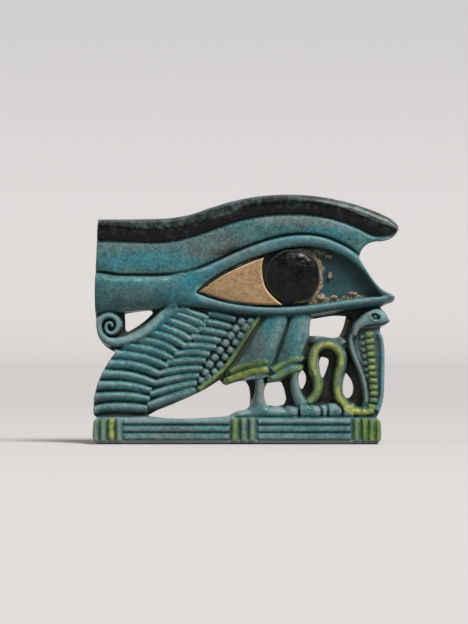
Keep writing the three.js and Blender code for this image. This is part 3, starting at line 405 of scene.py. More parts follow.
def spaced(line: Array, count: int) -> Array:
    """Evenly spaced places along a line, ends included."""
    run = np.r_[0, np.cumsum(np.linalg.norm(np.diff(line, axis=0), axis=1))]
    at = np.linspace(0, run[-1], count)
    return np.stack([np.interp(at, run, line[:, k]) for k in (0, 1)], axis=1)


def higher(a: Array, b: Array, blend: float) -> Array:
    """The higher of two surfaces, with a fillet about as wide as blend where they cross."""
    near = np.maximum(blend - np.abs(a - b), 0) / blend
    return np.maximum(a, b) + near * near * blend / 4


def step_between(low: float, high: float, x: Array) -> Array:
    """Smooth step from 0 at low to 1 at high, either way round."""
    t = np.clip((x - low) / (high - low), 0, 1)
    return t * t * (3 - 2 * t)


def crown(off: Array, power: float = 2.0, root: float = 2.0) -> Array:
    """Height of an arch, 1 at its middle and 0 where off is 1 or more."""
    return np.maximum(1 - off ** power, 0) ** (1 / root)


def squarish(x: Array, z: Array, fullness: float) -> Array:
    """Distance from the middle of a superellipse, where 1 is its edge. A fullness of 2 is an ellipse."""
    return (np.abs(x) ** fullness + np.abs(z) ** fullness) ** (1 / fullness)


def weigh(corners: Sequence[Sequence[Array]], s: Array, t: Array) -> Array:
    """Mean of the values at a cell's four corners, weighed by a place in it from 0 to 1 each way."""
    near, far = (corners[0][k] * (1 - s) + corners[1][k] * s for k in (0, 1))
    return near * (1 - t) + far * t


def soften(values: Array, steps: float) -> Array:
    """A field blurred evenly, with a spread of that many grid steps."""
    reach = max(1, round(2.5 * steps))
    weights = np.exp(-0.5 * (np.arange(-reach, reach + 1) / steps) ** 2)
    weights /= weights.sum()
    for axis in (0, 1):
        padded = np.pad(values, [(reach, reach) if a == axis else (0, 0) for a in (0, 1)], mode="edge")
        count = values.shape[axis]
        values = sum(w * np.take(padded, np.arange(k, k + count), axis=axis) for k, w in enumerate(weights))
    return values


def skin(values: Array, origin: Array, steps: Array) -> tuple[Array, Array]:
    """Mesh of the surface where a field crosses zero, one corner to each cell it passes (surface nets).

    Args:
        values: the field on an even grid, below zero inside the solid.
        origin: the place of the grid's first corner.
        steps: the grid's step along each of its three axes.

    Returns:
        The corners, and the four-sided faces as rows of corner numbers, turned outwards.
    """
    inside = values < 0
    shape = np.array(values.shape) - 1
    filled = np.zeros(shape, np.int8)
    for i, j, k in product((0, 1), repeat=3):
        filled += inside[i:shape[0] + i, j:shape[1] + j, k:shape[2] + k]
    cells = np.argwhere((filled > 0) & (filled < 8))
    number = np.full(shape, -1, np.int64)
    number[tuple(cells.T)] = np.arange(len(cells))
    total, hits = np.zeros((len(cells), 3)), np.zeros(len(cells))
    axes = np.eye(3, dtype=int)
    for axis, a, b in product(range(3), (0, 1), (0, 1)):
        along, start = axes[axis], np.roll([0, a, b], axis)
        here, there = values[tuple((cells + start).T)], values[tuple((cells + start + along).T)]
        crossed = (here < 0) != (there < 0)
        share = np.where(crossed, here / np.where(crossed, here - there, 1), 0)
        total += crossed[:, None] * (start + share[:, None] * along)
        hits += crossed
    faces = []
    for axis in range(3):
        u, v = axes[(axis + 1) % 3], axes[(axis + 2) % 3]
        first = [slice(1, -1)] * 3
        first[axis] = slice(0, -1)
        second = list(first)
        second[axis] = slice(1, None)
        at = np.argwhere(inside[tuple(first)] != inside[tuple(second)]) + np.where(np.arange(3) == axis, 0, 1)
        quads = np.stack([number[tuple((at - step).T)] for step in (0 * u, u, u + v, v)], axis=1)
        leaving = inside[tuple(at.T)]
        faces.append(np.where(leaving[:, None], quads, quads[:, ::-1]))
    return origin + (cells + total / hits[:, None]) * steps, np.vstack(faces)


class Relief:
    """Heights above the flat back, in millimetres, on an even grid, with the masks painted on them."""

    def __init__(self, low: Sequence[float], high: Sequence[float], pitch: float, level: float) -> None:
        """A level relief.

        Args:
            low: its lowest corner, as (x, height).
            high: its highest corner.
            pitch: the grid's step.
            level: how far its surface lies from the back.
        """
        self.pitch = pitch
        self.x = np.arange(low[0], high[0] + pitch, pitch)
        self.z = np.arange(low[1], high[1] + pitch, pitch)
        self.height = np.full((len(self.x), len(self.z)), level)
        self.masks = {paint: np.zeros_like(self.height) for paint in Paint}

    def places(self, part: Part = EVERYWHERE) -> tuple[Array, Array]:
        """Places of a part of the grid: x as a column and the height as a row."""
        return self.x[part[0]][:, None], self.z[part[1]][None, :]

    def pixels_across(self, part: Part) -> Array:
        """Places of a part of the grid, as a column of pixels across the photograph."""
        return self.places(part)[0] / MM_PER_PIXEL_ACROSS + MIDDLE_PIXEL

    def window(self, points: Array, margin: float) -> Part:
        """The part of the grid that lies within a margin of some points."""
        low, high = points.min(axis=0) - margin, points.max(axis=0) + margin
        return (slice(*np.searchsorted(self.x, (low[0], high[0]))),
                slice(*np.searchsorted(self.z, (low[1], high[1]))))

    def near(self, line: Array, part: Part = EVERYWHERE, closed: bool = False) -> tuple[Array, Array, Array]:
        """How each place of a part of the grid lies to a line.

        Args:
            line: the line's corners.
            part: the part of the grid.
            closed: whether the line is an outline.

        Returns:
            The distance to the line, below zero inside an outline, how far along the line the nearest place
            is, from 0 to 1, and 1 to the left of the line's run or -1 to the right of it.
        """
        x, z = self.places(part)
        ends = np.vstack([line[1:], line[:1]]) if closed else line[1:]
        run = np.r_[0, np.cumsum(np.linalg.norm(ends - line[:len(ends)], axis=1))]
        least = np.full((x.size, z.size), np.inf)
        share, side = np.zeros_like(least), np.ones_like(least)
        inside = np.zeros(least.shape, bool)
        for k, (a, b) in enumerate(zip(line, ends)):
            d = b - a
            long2 = float(d @ d)
            if long2 < 1e-12:
                continue
            t = np.clip(((x - a[0]) * d[0] + (z - a[1]) * d[1]) / long2, 0, 1)
            far2 = (x - a[0] - t * d[0]) ** 2 + (z - a[1] - t * d[1]) ** 2
            nearer = far2 < least
            least = np.where(nearer, far2, least)
            side = np.where(nearer, np.where(d[0] * (z - a[1]) < d[1] * (x - a[0]), -1, 1), side)
            share = np.where(nearer, (run[k] + t * (run[k + 1] - run[k])) / run[-1], share)
            if closed and a[1] != b[1]:
                inside ^= ((a[1] > z) != (b[1] > z)) & (x < a[0] + (z - a[1]) * d[0] / d[1])
        far = np.sqrt(least)
        return np.where(inside, -far, far), share, side

    def within(self, line: Array, margin: float) -> tuple[Part, Array]:
        """The part of the grid about an outline, and its places' distances to it, below zero inside."""
        part = self.window(line, margin)
        return part, self.near(line, part, closed=True)[0]

    def off_spot(self, at: Point, half: Point, part: Part = EVERYWHERE) -> Array:
        """How far places lie from the middle of an ellipse of the drawing, squared, where 1 is its edge."""
        (x, z), middle, (across, up) = self.places(part), spot(at), in_mm(half)
        return ((x - middle[0]) / across) ** 2 + ((z - middle[1]) / up) ** 2

    def stroke(self, pixels: Pixels, width: float) -> tuple[Part, Array]:
        """A soft stroke along a line of the drawing: the part of the grid about it, and its strength."""
        line = curve(pixels)
        part = self.window(line, width)
        return part, np.exp(-(2 * self.near(line, part)[0] / width) ** 2)

    def noise(self, size: float, seed: int, part: Part = EVERYWHERE) -> Array:
        """Smooth value noise between -1 and 1.

        Args:
            size: how far apart its hills are, in millimetres.
            seed: which pattern.
            part: the part of the grid.

        Returns:
            One value for each place.
        """
        grid = np.random.default_rng(seed).uniform(-1, 1, (NOISE_CELLS, NOISE_CELLS))
        u, v = (at / size + shift for at, shift in zip(self.places(part), NOISE_SHIFT))
        i, j = np.floor(u).astype(int), np.floor(v).astype(int)
        corners = [[grid[(i + a) % NOISE_CELLS, (j + b) % NOISE_CELLS] for b in (0, 1)] for a in (0, 1)]
        return weigh(corners, step_between(0, 1, u - i), step_between(0, 1, v - j))

    def read(self, values: Array, x: Array, z: Array) -> Array:
        """Values of a field on this grid at any places, in millimetres."""
        u = np.clip((x - self.x[0]) / self.pitch, 0, len(self.x) - 1.001)
        v = np.clip((z - self.z[0]) / self.pitch, 0, len(self.z) - 1.001)
        i, j = u.astype(int), v.astype(int)
        return weigh([[values[i + a, j + b] for b in (0, 1)] for a in (0, 1)], u - i, v - j)

    def mark(self, kind: Paint, part: Part, values: Array) -> None:
        """Raises a mask to some values where it is below them."""
        self.masks[kind][part] = np.maximum(self.masks[kind][part], values)

    def paint(self, part: Part, share: Array, paint: dict[Paint, float]) -> None:
        """Brings masks nearer to some values, by a share from 0 to 1."""
        for kind, value in paint.items():
            self.masks[kind][part] = self.masks[kind][part] * (1 - share) + value * share

    def lay(self, part: Part, surface: Array, blend: float, paint: dict[Paint, float]) -> None:
        """Adds a form's surface to the relief, and paints it where it shows.

        Args:
            part: the part of the grid that the surface covers.
            surface: the form's heights there.
            blend: the width of the fillet round its foot.
            paint: each mask that it sets, and to what.
        """
        self.paint(part, np.clip(0.5 + (surface - self.height[part]) / 0.2, 0, 1), paint)
        self.height[part] = higher(self.height[part], surface, blend)

    def melt(self, at: Point, half: Point, spread: float) -> None:
        """Blurs the surface about a place.

        Args:
            at: the place, as (across, down) in the photograph.
            half: how far the blur reaches, in pixels of the photograph.
            spread: how wide the blur is, in millimetres.
        """
        part = self.window(spot(at)[None], max(in_mm(half)) * 1.6)
        share = step_between(1.3, 0.6, np.sqrt(self.off_spot(at, half, part)))
        here = self.height[part]
        self.height[part] = here * (1 - share) + soften(here, spread / self.pitch) * share


@dataclass(frozen=True)
class Form:
    """What all raised forms share: where their arch springs, how far it rises and how their sides fall."""

    spring: float
    rise: float
    flank: float = 3.5
    blend: float = 0.22
    paint: dict[Paint, float] = field(default_factory=dict)


@dataclass(frozen=True)
class Vault(Form):
    """Arched form between two rails of the drawing. Crest is where across it is highest, from 0 to 1."""

    rails: tuple[Pixels, Pixels] = ()
    crest: float = 0.5
    fullness: float = 2.0

    def raise_on(self, relief: Relief) -> tuple[Part, Array, Array]:
        """Raises the form on a relief.

        Args:
            relief: the relief to change.

        Returns:
            The part of the grid that it covers, how far across the form each place is, and its distance to
            the form, below zero inside.
        """
        first, second = (curve(rail) for rail in self.rails)
        part, out = relief.within(np.vstack([first, second[::-1]]), 2.0)
        from_first, from_second = relief.near(first, part)[0], relief.near(second, part)[0]
        across = from_first / np.maximum(from_first + from_second, 1e-6)
        even = np.where(across < self.crest, across / (2 * self.crest),
                        0.5 + (across - self.crest) / (2 * (1 - self.crest)))
        arch = crown(np.abs(2 * even - 1), self.fullness, self.fullness)
        rise = np.where(out < 0, self.rise * arch, -self.flank * np.maximum(out, 0))
        relief.lay(part, self.spring + rise, self.blend, self.paint)
        return part, across, out


@dataclass(frozen=True)
class Ridge(Form):
    """Half-round ridge along a line, as wide as widths say at even steps along it, with rounded ends.

    Lean moves its crest to the left of the line's run, by that share of half its width.
    """

    line: Pixels = ()
    widths: tuple[float, ...] = (1.0,)
    ends: float = 0.1
    fullness: float = 2.0
    lean: float = 0.0

    def raise_on(self, relief: Relief) -> tuple[Part, Array, Array]:
        """Raises the ridge on a relief.

        Args:
            relief: the relief to change.

        Returns:
            The part of the grid that it covers, how far along it each place is, and how far across it, from
            -1 at its right edge to 1 at its left edge.
        """
        line = curve(self.line)
        part = relief.window(line, max(self.widths) / 2 + 1.2)
        far, share, side = relief.near(line, part)
        half = np.interp(share, np.linspace(0, 1, len(self.widths)), self.widths) / 2
        full = crown(1 - np.clip(np.minimum(share, 1 - share) / self.ends, 0, 1))
        off = np.clip(side * far / half, -1, 1)
        off = np.where(off > self.lean, (off - self.lean) / (1 - self.lean),
                       (self.lean - off) / (1 + self.lean))
        surface = self.spring + self.rise * crown(off, self.fullness, self.fullness) * full - (1 - full) * 0.4
        relief.lay(part, surface - self.flank * np.maximum(far - half, 0), self.blend, self.paint)
        return part, share, side * far / half


@dataclass(frozen=True)
class Bead(Form):
    """Rounded bead about a place in millimetres, with half sizes along and across and a turn in radians."""

    at: Sequence[float] = (0.0, 0.0)
    half: Point = (1.0, 1.0)
    turn: float = 0.0
    fullness: float = 2.5
    flatness: float = 2.0

    def raise_on(self, relief: Relief) -> None:
        """Raises the bead on a relief."""
        part = relief.window(np.array([self.at]), max(self.half) + 1)
        x, z = (axis - middle for axis, middle in zip(relief.places(part), self.at))
        along = (x * math.cos(self.turn) + z * math.sin(self.turn)) / self.half[0]
        across = (z * math.cos(self.turn) - x * math.sin(self.turn)) / self.half[1]
        off = squarish(along, across, self.fullness)
        surface = self.spring + self.rise * crown(off, self.flatness)
        surface = surface - self.flank * min(self.half) * np.maximum(off - 1, 0)
        relief.lay(part, surface, self.blend, self.paint)


@dataclass(frozen=True)
class Plateau(Form):
    """Level inside an outline, its edge rounded off over the form's rise."""

    edge: Sequence[Pixels] = ()

    def raise_on(self, relief: Relief) -> None:
        """Raises the plateau on a relief."""
        part, out = relief.within(outline(self.edge), 1.5)
        surface = self.spring + self.rise * crown(np.clip(1 + out / self.rise, 0, 1))
        relief.lay(part, surface - self.flank * np.maximum(out, 0), self.blend, self.paint)


@dataclass(frozen=True)
class Groove:
    """Line cut into the relief, round in section, fading at its ends, with painted shade along its floor."""

    line: Pixels
    depth: float
    width: float
    groove_shade: float = 0.0

    def cut(self, relief: Relief) -> None:
        """Cuts the groove into a relief."""
        line = curve(self.line)
        part = relief.window(line, self.width)
        far, share = relief.near(line, part)[:2]
        fade = np.clip(np.minimum(share, 1 - share) / 0.04, 0, 1)
        relief.height[part] -= self.depth * fade * np.maximum(1 - (2 * far / self.width) ** 2, 0) ** 2
        groove_shade = self.groove_shade * fade * step_between(self.width * 0.38, self.width * 0.16, far)
        relief.mark(Paint.LINE, part, groove_shade)


# The forms of the plaque. A pair of heights says where a form's arch springs and how far it rises.


@dataclass
class EyeBlock:
    """Brow, forehead, lids, the cosmetic band at the left, and the cell that held the eye's inlays."""

    ground: Point = (4.5, 0.5)
    forehead: Point = (5.9, 1.0)
    brow: Point = (6.1, 1.6)
    upper_lid: Point = (5.6, 1.9)
    lower_lid: Point = (4.9, 2.4)
    cell_floor: float = 4.3
    cell_wall_slope: float = 5
    grout_level: float = 6.25
    grout_ends: Point = (263, 258)
    film_noise: tuple[tuple[float, float, int], ...] = ((0.30, 0.9, 51), (0.22, 0.42, 52))
    film_thickness: Point = (0.22, 0.14)
    corner: Point = (186, 288)
    corner_half: Point = (20, 20)
    corner_blur: float = 1.1
    inks: tuple[float, ...] = (0.03, 0.47, 0.5)
    brow_groove: tuple[float, ...] = (0.12, 0.475)
    lid_groove: tuple[float, ...] = (0.35, 0.95, 0.9)
    worn_at: tuple[float, ...] = (90, 140, 175, 196, 232, 250, 300, 330, 352, 380)
    bare_down_to: tuple[float, ...] = (0.06, 0.13, 0.13, 0.09, 0.12, 0.08, 0.16, 0.24, 0.36, 0.42)
    worn_down_to: tuple[float, ...] = (0.32, 0.50, 0.53, 0.53, 0.70, 0.47, 0.44, 0.45, 0.46, 0.52)

    def shape(self, relief: Relief) -> None:
        """Raises the eye's forms on the plaque's relief."""
        Plateau(*self.ground, blend=0.3, paint=CLEAN, edge=EYE_BLOCK).raise_on(relief)
        for heights, rails, crest, fullness in (
                (self.forehead, (BROW_RAILS[1], LID_GROOVE), 0.32, 2.3),
                (self.lower_lid, TAIL_BAND_RAILS, 0.2, 1.7),
                (self.upper_lid, UPPER_LID_RAILS, 0.27, 1.9),
                (self.lower_lid, LOWER_LID_RAILS, 0.25, 2.0)):
            Vault(*heights, rails=rails, crest=crest, fullness=fullness, paint=CLEAN).raise_on(relief)
        relief.melt(self.corner, self.corner_half, self.corner_blur)
        self.raise_brow(relief)
        part, out = relief.within(np.vstack([curve(BROW_RAILS[1]), curve(LID_GROOVE)[::-1]]), 1)
        relief.masks[Paint.SANDY][part] = step_between(0.7, 0.2, out)
        Groove(BROW_RAILS[1], *self.brow_groove).cut(relief)
        Groove(LID_GROOVE, *self.lid_groove).cut(relief)

    def raise_brow(self, relief: Relief) -> None:
        """Raises the brow, black where its glaze isn't worn off down from its upper edge."""
        part, across, out = Vault(*self.brow, rails=BROW_RAILS, crest=0.45).raise_on(relief)
        bare, worn = (np.interp(relief.pixels_across(part), self.worn_at, limits)
                      for limits in (self.bare_down_to, self.worn_down_to))
        least, below_bare, below_worn = self.inks
        ink = (least + below_bare * step_between(bare - 0.06, bare + 0.06, across)
               + below_worn * step_between(worn - 0.2, worn + 0.08, across))
        relief.masks[Paint.BLACK][part] = step_between(0.0, -0.25, out) * ink
        relief.mark(Paint.GREY, part, step_between(0.1, -0.1, out))

    def sink_cell(self, relief: Relief) -> None:
        """Cuts the cell for the inlays, last of all."""
        part, out = relief.within(outline(EYE_OPENING), 2)
        floor = self.cell_floor + self.cell_wall_slope * np.maximum(out + 0.05, 0)
        relief.height[part] = -higher(-relief.height[part], -floor, 0.25)
        inside = step_between(0.1, -0.2, out)
        # Painted shadow over the cell's floor, under the lids.
        relief.paint(part, inside, {Paint.GREY: 0.1, Paint.DIM: 1, Paint.GREEN: 0, Paint.SANDY: 0})
        relief.mark(Paint.DIRT, part, inside * (0.3 + 0.5 * step_between(-1.4, -0.2, out)))
        beside = step_between(1.5, 0.8, iris_distance(relief)[part])
        relief.mark(Paint.LINE, part, inside * beside * (relief.places(part)[0] < spot(IRIS_CENTRE)[0]))
        self.smear_mortar(relief, part, inside)
        self.grout(relief, part, out)

    def smear_mortar(self, relief: Relief, part: Part, inside: Array) -> None:
        """Leaves a rough film of mortar on the cell's floor, round the iris and along the lower lid."""
        film = reduce(np.maximum, (strength * np.exp(-relief.off_spot(at, half, part))
                                   for at, half, strength in MORTAR_SMEARS))
        for strength, size, seed in self.film_noise:
            film = film + strength * relief.noise(size, seed, part)
        film = step_between(0.35, 0.75, film) * inside
        relief.masks[Paint.MORTAR][part] = film
        mean, change = self.film_thickness
        relief.height[part] += film * (mean + change * relief.noise(0.55, 53, part))

    def grout(self, relief: Relief, part: Part, out: Array) -> None:
        """Fills the joint round the white of the eye with brown mortar."""
        left = step_between(*self.grout_ends, relief.pixels_across(part))
        joint = step_between(-0.26, -0.2, out) * step_between(0.3, 0.0, out) * left
        level = self.grout_level + 0.25 * relief.noise(0.9, 61, part)
        relief.height[part] = np.maximum(relief.height[part], joint * level)
        # The grout carries no painted shadow.
        relief.masks[Paint.DIM][part] *= 1 - left
        patches = step_between(-0.3, 0.2, relief.noise(1.3, 62, part) + 0.25)
        relief.mark(Paint.DIRT, part, step_between(0.35, 0.0, out) * left * patches)


@dataclass
class Wing:
    """Flight feathers, coverts, two rows of scales and the green leading edge."""

    ground: Point = (4.2, 0.3)
    feather: Point = (4.6, 1.25)
    primary_widths: tuple[float, ...] = (2.3, 2.3, 2.3, 2.3, 2.254, 1.518)
    primary_growth: Point = (0, 1.8)
    covert_widths: tuple[float, ...] = (1.435, 2.05, 2.05, 2.05, 2.009, 1.5375)
    covert_growth: Point = (0.6, 0.2)
    root_drop: float = 0.4
    scale: Point = (4.8, 1.15)
    scales: int = 9
    scale_half: Point = (1.08, 1.02)
    scale_sizes: Point = (0.92, 1.06)
    scale_shrink: float = 0.18
    scale_turn: float = 0.25
    scale_shift: float = 0.1
    seed: int = 71
    bevel: Point = (4.9, 0.3)
    bevel_shift: float = 3.6
    leading_edge: Point = (5.4, 0.8)

    def shape(self, relief: Relief) -> None:
        """Raises the wing on the plaque's relief."""
        Plateau(*self.ground, edge=WING_FIELD, paint={Paint.DIRT: 0.8}).raise_on(relief)
        self.raise_feathers(relief, PRIMARIES, self.primary_widths, self.primary_growth)
        self.raise_feathers(relief, COVERTS, self.covert_widths, self.covert_growth)
        self.raise_scales(relief)
        bevel = [(across + self.bevel_shift, down) for across, down in LEADING_EDGE]
        Ridge(*self.bevel, line=bevel, widths=(1.3,), ends=0.02, paint={Paint.DIRT: 0.9}).raise_on(relief)
        Ridge(*self.leading_edge, line=LEADING_EDGE, widths=(1.15,), ends=0.02,
              paint={Paint.GREEN: 0.9, Paint.YELLOW: 0.1, **NO_DIRT}).raise_on(relief)

    def raise_feathers(self, relief: Relief, lines: Sequence[Pixels], widths: tuple[float, ...],
                       growth: Point) -> None:
        """Raises a row of feathers.

        Args:
            relief: the relief to change.
            lines: their middle lines, from the tip to the root.
            widths: their widths at even steps along the line.
            growth: how many pixels they reach beyond the line at the tip and at the root.
        """
        for (tip, tip_down), *middle, (root, root_down) in lines:
            line = ((tip - growth[0], tip_down), *middle, (root + growth[1], root_down + self.root_drop))
            Ridge(*self.feather, line=line, widths=widths, ends=0.03, lean=0.3, fullness=1.75, flank=3.2,
                  blend=0.1, paint=NO_DIRT).raise_on(relief)

    def raise_scales(self, relief: Relief) -> None:
        """Raises two rows of scales, smaller down the wing and none quite like the next."""
        rng = np.random.default_rng(self.seed)
        for row in SCALE_ROWS:
            places = spaced(curve(row), self.scales)
            for k, at in enumerate(places):
                way = places[min(k + 1, self.scales - 1)] - places[max(k - 1, 0)]
                shrink = rng.uniform(*self.scale_sizes) - self.scale_shrink * k / (self.scales - 1)
                turn = math.atan2(way[1], way[0]) + rng.uniform(-self.scale_turn, self.scale_turn)
                at = at + rng.uniform(-self.scale_shift, self.scale_shift, 2)
                Bead(*self.scale, at=at, turn=turn,
                     half=tuple(size * shrink for size in self.scale_half), fullness=2.7, flatness=2.6,
                     flank=5, blend=0.06, paint={Paint.GREY: 0.45, **NO_DIRT}).raise_on(relief)


@dataclass
class Coil:
    """Curling cheek mark that ends in a spiral."""

    heights: Point = (4.9, 1.35)
    widths: tuple[float, ...] = (3.2, 2.7, 2.4, 2.2, 2.0, 1.65, 1.35, 1.0, 0.8)

    def shape(self, relief: Relief) -> None:
        """Raises the coil on the plaque's relief."""
        Ridge(*self.heights, line=COIL_LINE, widths=self.widths, ends=0.01, blend=0.3).raise_on(relief)


@dataclass
class FalconLegs:
    """Feathered thighs with two hems, shins, feet and claws."""

    ground: Point = (4.4, 0.3)
    brown_edge: Point = (3.5, 0.25)
    thigh: Point = (5.0, 1.45)
    thigh_crests: Point = (0.66, 0.6)
    hem: Point = (6.1, 0.75)
    hem_widths: tuple[float, ...] = (1.36, 1.7, 1.7, 1.7, 1.36)
    hem_greens: tuple[float, ...] = (0.85, 0.9, 0.6, 0.55)
    hem_yellows: tuple[float, ...] = (0.12, 0.5, 0.1, 0.1)
    shin: Point = (4.4, 1.8)
    foot: Point = (5.2, 1.25)
    footing: Point = (5.0, 1.5)
    toe: Point = (5.2, 1.65)
    ankle: Point = (258, 409)
    ankle_half: Point = (11, 7)
    ankle_blur: float = 0.55

    def shape(self, relief: Relief) -> None:
        """Raises the legs on the plaque's relief."""
        Plateau(*self.ground, edge=THIGH_FLOOR, paint={Paint.DIRT: 0.75}).raise_on(relief)
        for line in BROWN_EDGES:
            Ridge(*self.brown_edge, line=line, widths=(1.7,), paint={Paint.DIRT: 1.0}).raise_on(relief)
        for rails, crest in zip(THIGH_RAILS, self.thigh_crests):
            Vault(*self.thigh, rails=rails, crest=crest, fullness=1.9, paint=NO_DIRT).raise_on(relief)
        for line, green, yellow in zip(HEMS, self.hem_greens, self.hem_yellows):
            Ridge(*self.hem, line=line, widths=self.hem_widths, ends=0.07, blend=0.08, fullness=1.8, lean=0.3,
                  paint={Paint.GREEN: green, Paint.YELLOW: yellow, **NO_DIRT}).raise_on(relief)
        for rails in LEG_RAILS:
            Vault(*self.shin, rails=rails, crest=0.68).raise_on(relief)
        Vault(*self.foot, rails=FOOT_RAILS, crest=0.4).raise_on(relief)
        Vault(*self.footing, rails=FOOTING_RAILS, crest=0.45).raise_on(relief)
        relief.melt(self.ankle, self.ankle_half, self.ankle_blur)
        for line in TOE_GROOVES:
            Groove(line, depth=0.8, width=0.9, groove_shade=0.7).cut(relief)
        for at, half in TOES:
            Bead(*self.toe, at=spot(at), half=in_mm(half), blend=0.08, fullness=2.9).raise_on(relief)


@dataclass
class Cobra:
    """Rearing cobra: looped tail, spread hood with ribbed throat, and head with an almond eye."""

    ground: Point = (4.9, 0.3)
    tail_brow: Point = (4.2, 0.5)
    tail_brow_widths: tuple[float, ...] = (1.5, 2.0, 1.5)
    tail: Point = (4.8, 1.6)
    tail_widths: tuple[float, ...] = (1.8, 2.1, 2.2, 2.15, 2.1, 2.1, 2.2, 2.2)
    gold_at: tuple[float, ...] = (0, 0.12, 0.3, 0.5, 0.62, 0.75, 0.9, 1)
    gold: tuple[float, ...] = (0.1, 0.3, 0.55, 0.7, 0.3, 0.6, 0.8, 0.45)
    # Where along the tail its right flank loses green and takes painted shade.
    bare_shaded_at: tuple[float, ...] = (0, 0.25, 0.35, 0.6, 0.75, 0.84)
    bare: tuple[float, ...] = (0, 0.2, 0.8, 0.9, 0.6, 0)
    rim: Point = (5.2, 0.95)
    rim_widths: Point = (0.85, 1.25)
    rib: Point = (5.0, 1.35)
    ribs: int = 12
    rib_half: Point = (1.06, 0.74)
    side_rib: Point = (4.8, 0.9)
    side_ribs: int = 7
    side_rib_half: Point = (0.75, 0.62)
    side_rib_off: Point = (1.5, 0.5)
    side_rib_drift: float = 0.06
    lump: Point = (5.5, 0.95)
    lump_half: Point = (0.75, 0.7)
    head: Point = (5.4, 1.3)
    eye_half: Point = (1.15, 0.78)
    eye_depth: float = 1.15
    eye_slant: Point = (0.35, 0.32)
    eye_rim: tuple[float, ...] = (0.2, 1.3, 0.25)
    ball: Point = (5.7, 0.75)
    ball_half: Point = (0.52, 0.4)

    def shape(self, relief: Relief) -> None:
        """Raises the cobra on the plaque's relief."""
        Plateau(*self.ground, edge=HOOD_FIELD, paint={Paint.GREY: 0.6}).raise_on(relief)
        Ridge(*self.tail_brow, line=TAIL_BROW, widths=self.tail_brow_widths,
              paint={Paint.GREY: 0.5}).raise_on(relief)
        for line in HOOD_HATCHES:
            Groove(line, depth=0.28, width=0.5).cut(relief)
        self.raise_tail(relief)
        paints = ({Paint.GREY: 0.3}, {Paint.BLUE: 1.2, Paint.GREY: 0})
        for line, paint, width in zip(HOOD_RIMS, paints, self.rim_widths):
            Ridge(*self.rim, line=line, widths=(width,), ends=0.03, blend=0.1, paint=paint).raise_on(relief)
        self.raise_throat(relief)
        Vault(*self.head, rails=HEAD_RAILS).raise_on(relief)
        self.sink_eye(relief)
        Groove(MOUTH, depth=0.4, width=0.6, groove_shade=0.9).cut(relief)

    def raise_tail(self, relief: Relief) -> None:
        """Raises the looped tail, lumpy at its end, golden on its crest, and on its right flank less green
        and with painted shade.
        """
        part, share, across = Ridge(*self.tail, line=TAIL_LOOP, widths=self.tail_widths, ends=0.01,
                                    paint={Paint.GREEN: 0.9}).raise_on(relief)
        gold = np.interp(share, self.gold_at, self.gold)
        relief.mark(Paint.YELLOW, part, gold * step_between(0.85, 0.35, np.abs(across + 0.2)))
        for at, gold in TAIL_LUMPS:
            Bead(*self.lump, at=spot(at), half=self.lump_half, blend=0.3,
                 paint={Paint.GREEN: 0.9, Paint.YELLOW: gold}).raise_on(relief)
        # The right flank loses some green and takes painted shade.
        flank = step_between(0.0, 0.6, across) * step_between(1.4, 1.1, across)
        bare = np.interp(share, self.bare_shaded_at, self.bare) * flank
        relief.masks[Paint.GREEN][part] *= 1 - 0.6 * bare
        relief.mark(Paint.SHADE, part, 0.75 * bare)

    def raise_throat(self, relief: Relief) -> None:
        """Raises the throat's ribs, with small ones in painted shade beside the upper of them."""
        for k, (x, z) in enumerate(spaced(curve(THROAT), self.ribs)):
            # The small ribs beside the upper ribs take painted shade; the ribs themselves clear it.
            if k < self.side_ribs:
                beside = (x - self.side_rib_off[0] + self.side_rib_drift * k, z - self.side_rib_off[1])
                Bead(*self.side_rib, at=beside, half=self.side_rib_half, blend=0.06,
                     paint={Paint.SHADE: 0.5, Paint.GREY: 0.0}).raise_on(relief)
            Bead(*self.rib, at=(x, z), half=self.rib_half, turn=0.06 - 0.02 * k, blend=0.06, fullness=3.0,
                 paint={Paint.GREEN: 0.85, Paint.YELLOW: 0.1 + 0.25 * (k % 4 == 1), Paint.GREY: 0.0,
                        Paint.SHADE: 0.0}, flatness=2.2).raise_on(relief)

    def sink_eye(self, relief: Relief) -> None:
        """Sinks the almond eye, with a low rim round it and a bead for its ball."""
        at = spot(COBRA_EYE)
        part = relief.window(at[None], 2)
        x, z = (axis - middle for axis, middle in zip(relief.places(part), at))
        x, z = x - self.eye_slant[0] * z, z + self.eye_slant[1] * x
        off = np.sqrt((x / self.eye_half[0]) ** 2 + (z / self.eye_half[1]) ** 2)
        relief.height[part] -= self.eye_depth * np.maximum(1 - off ** 2, 0) ** 0.6
        rise, middle, width = self.eye_rim
        relief.height[part] += rise * np.exp(-((off - middle) / width) ** 2)
        Bead(*self.ball, at=at, half=self.ball_half, blend=0.06).raise_on(relief)


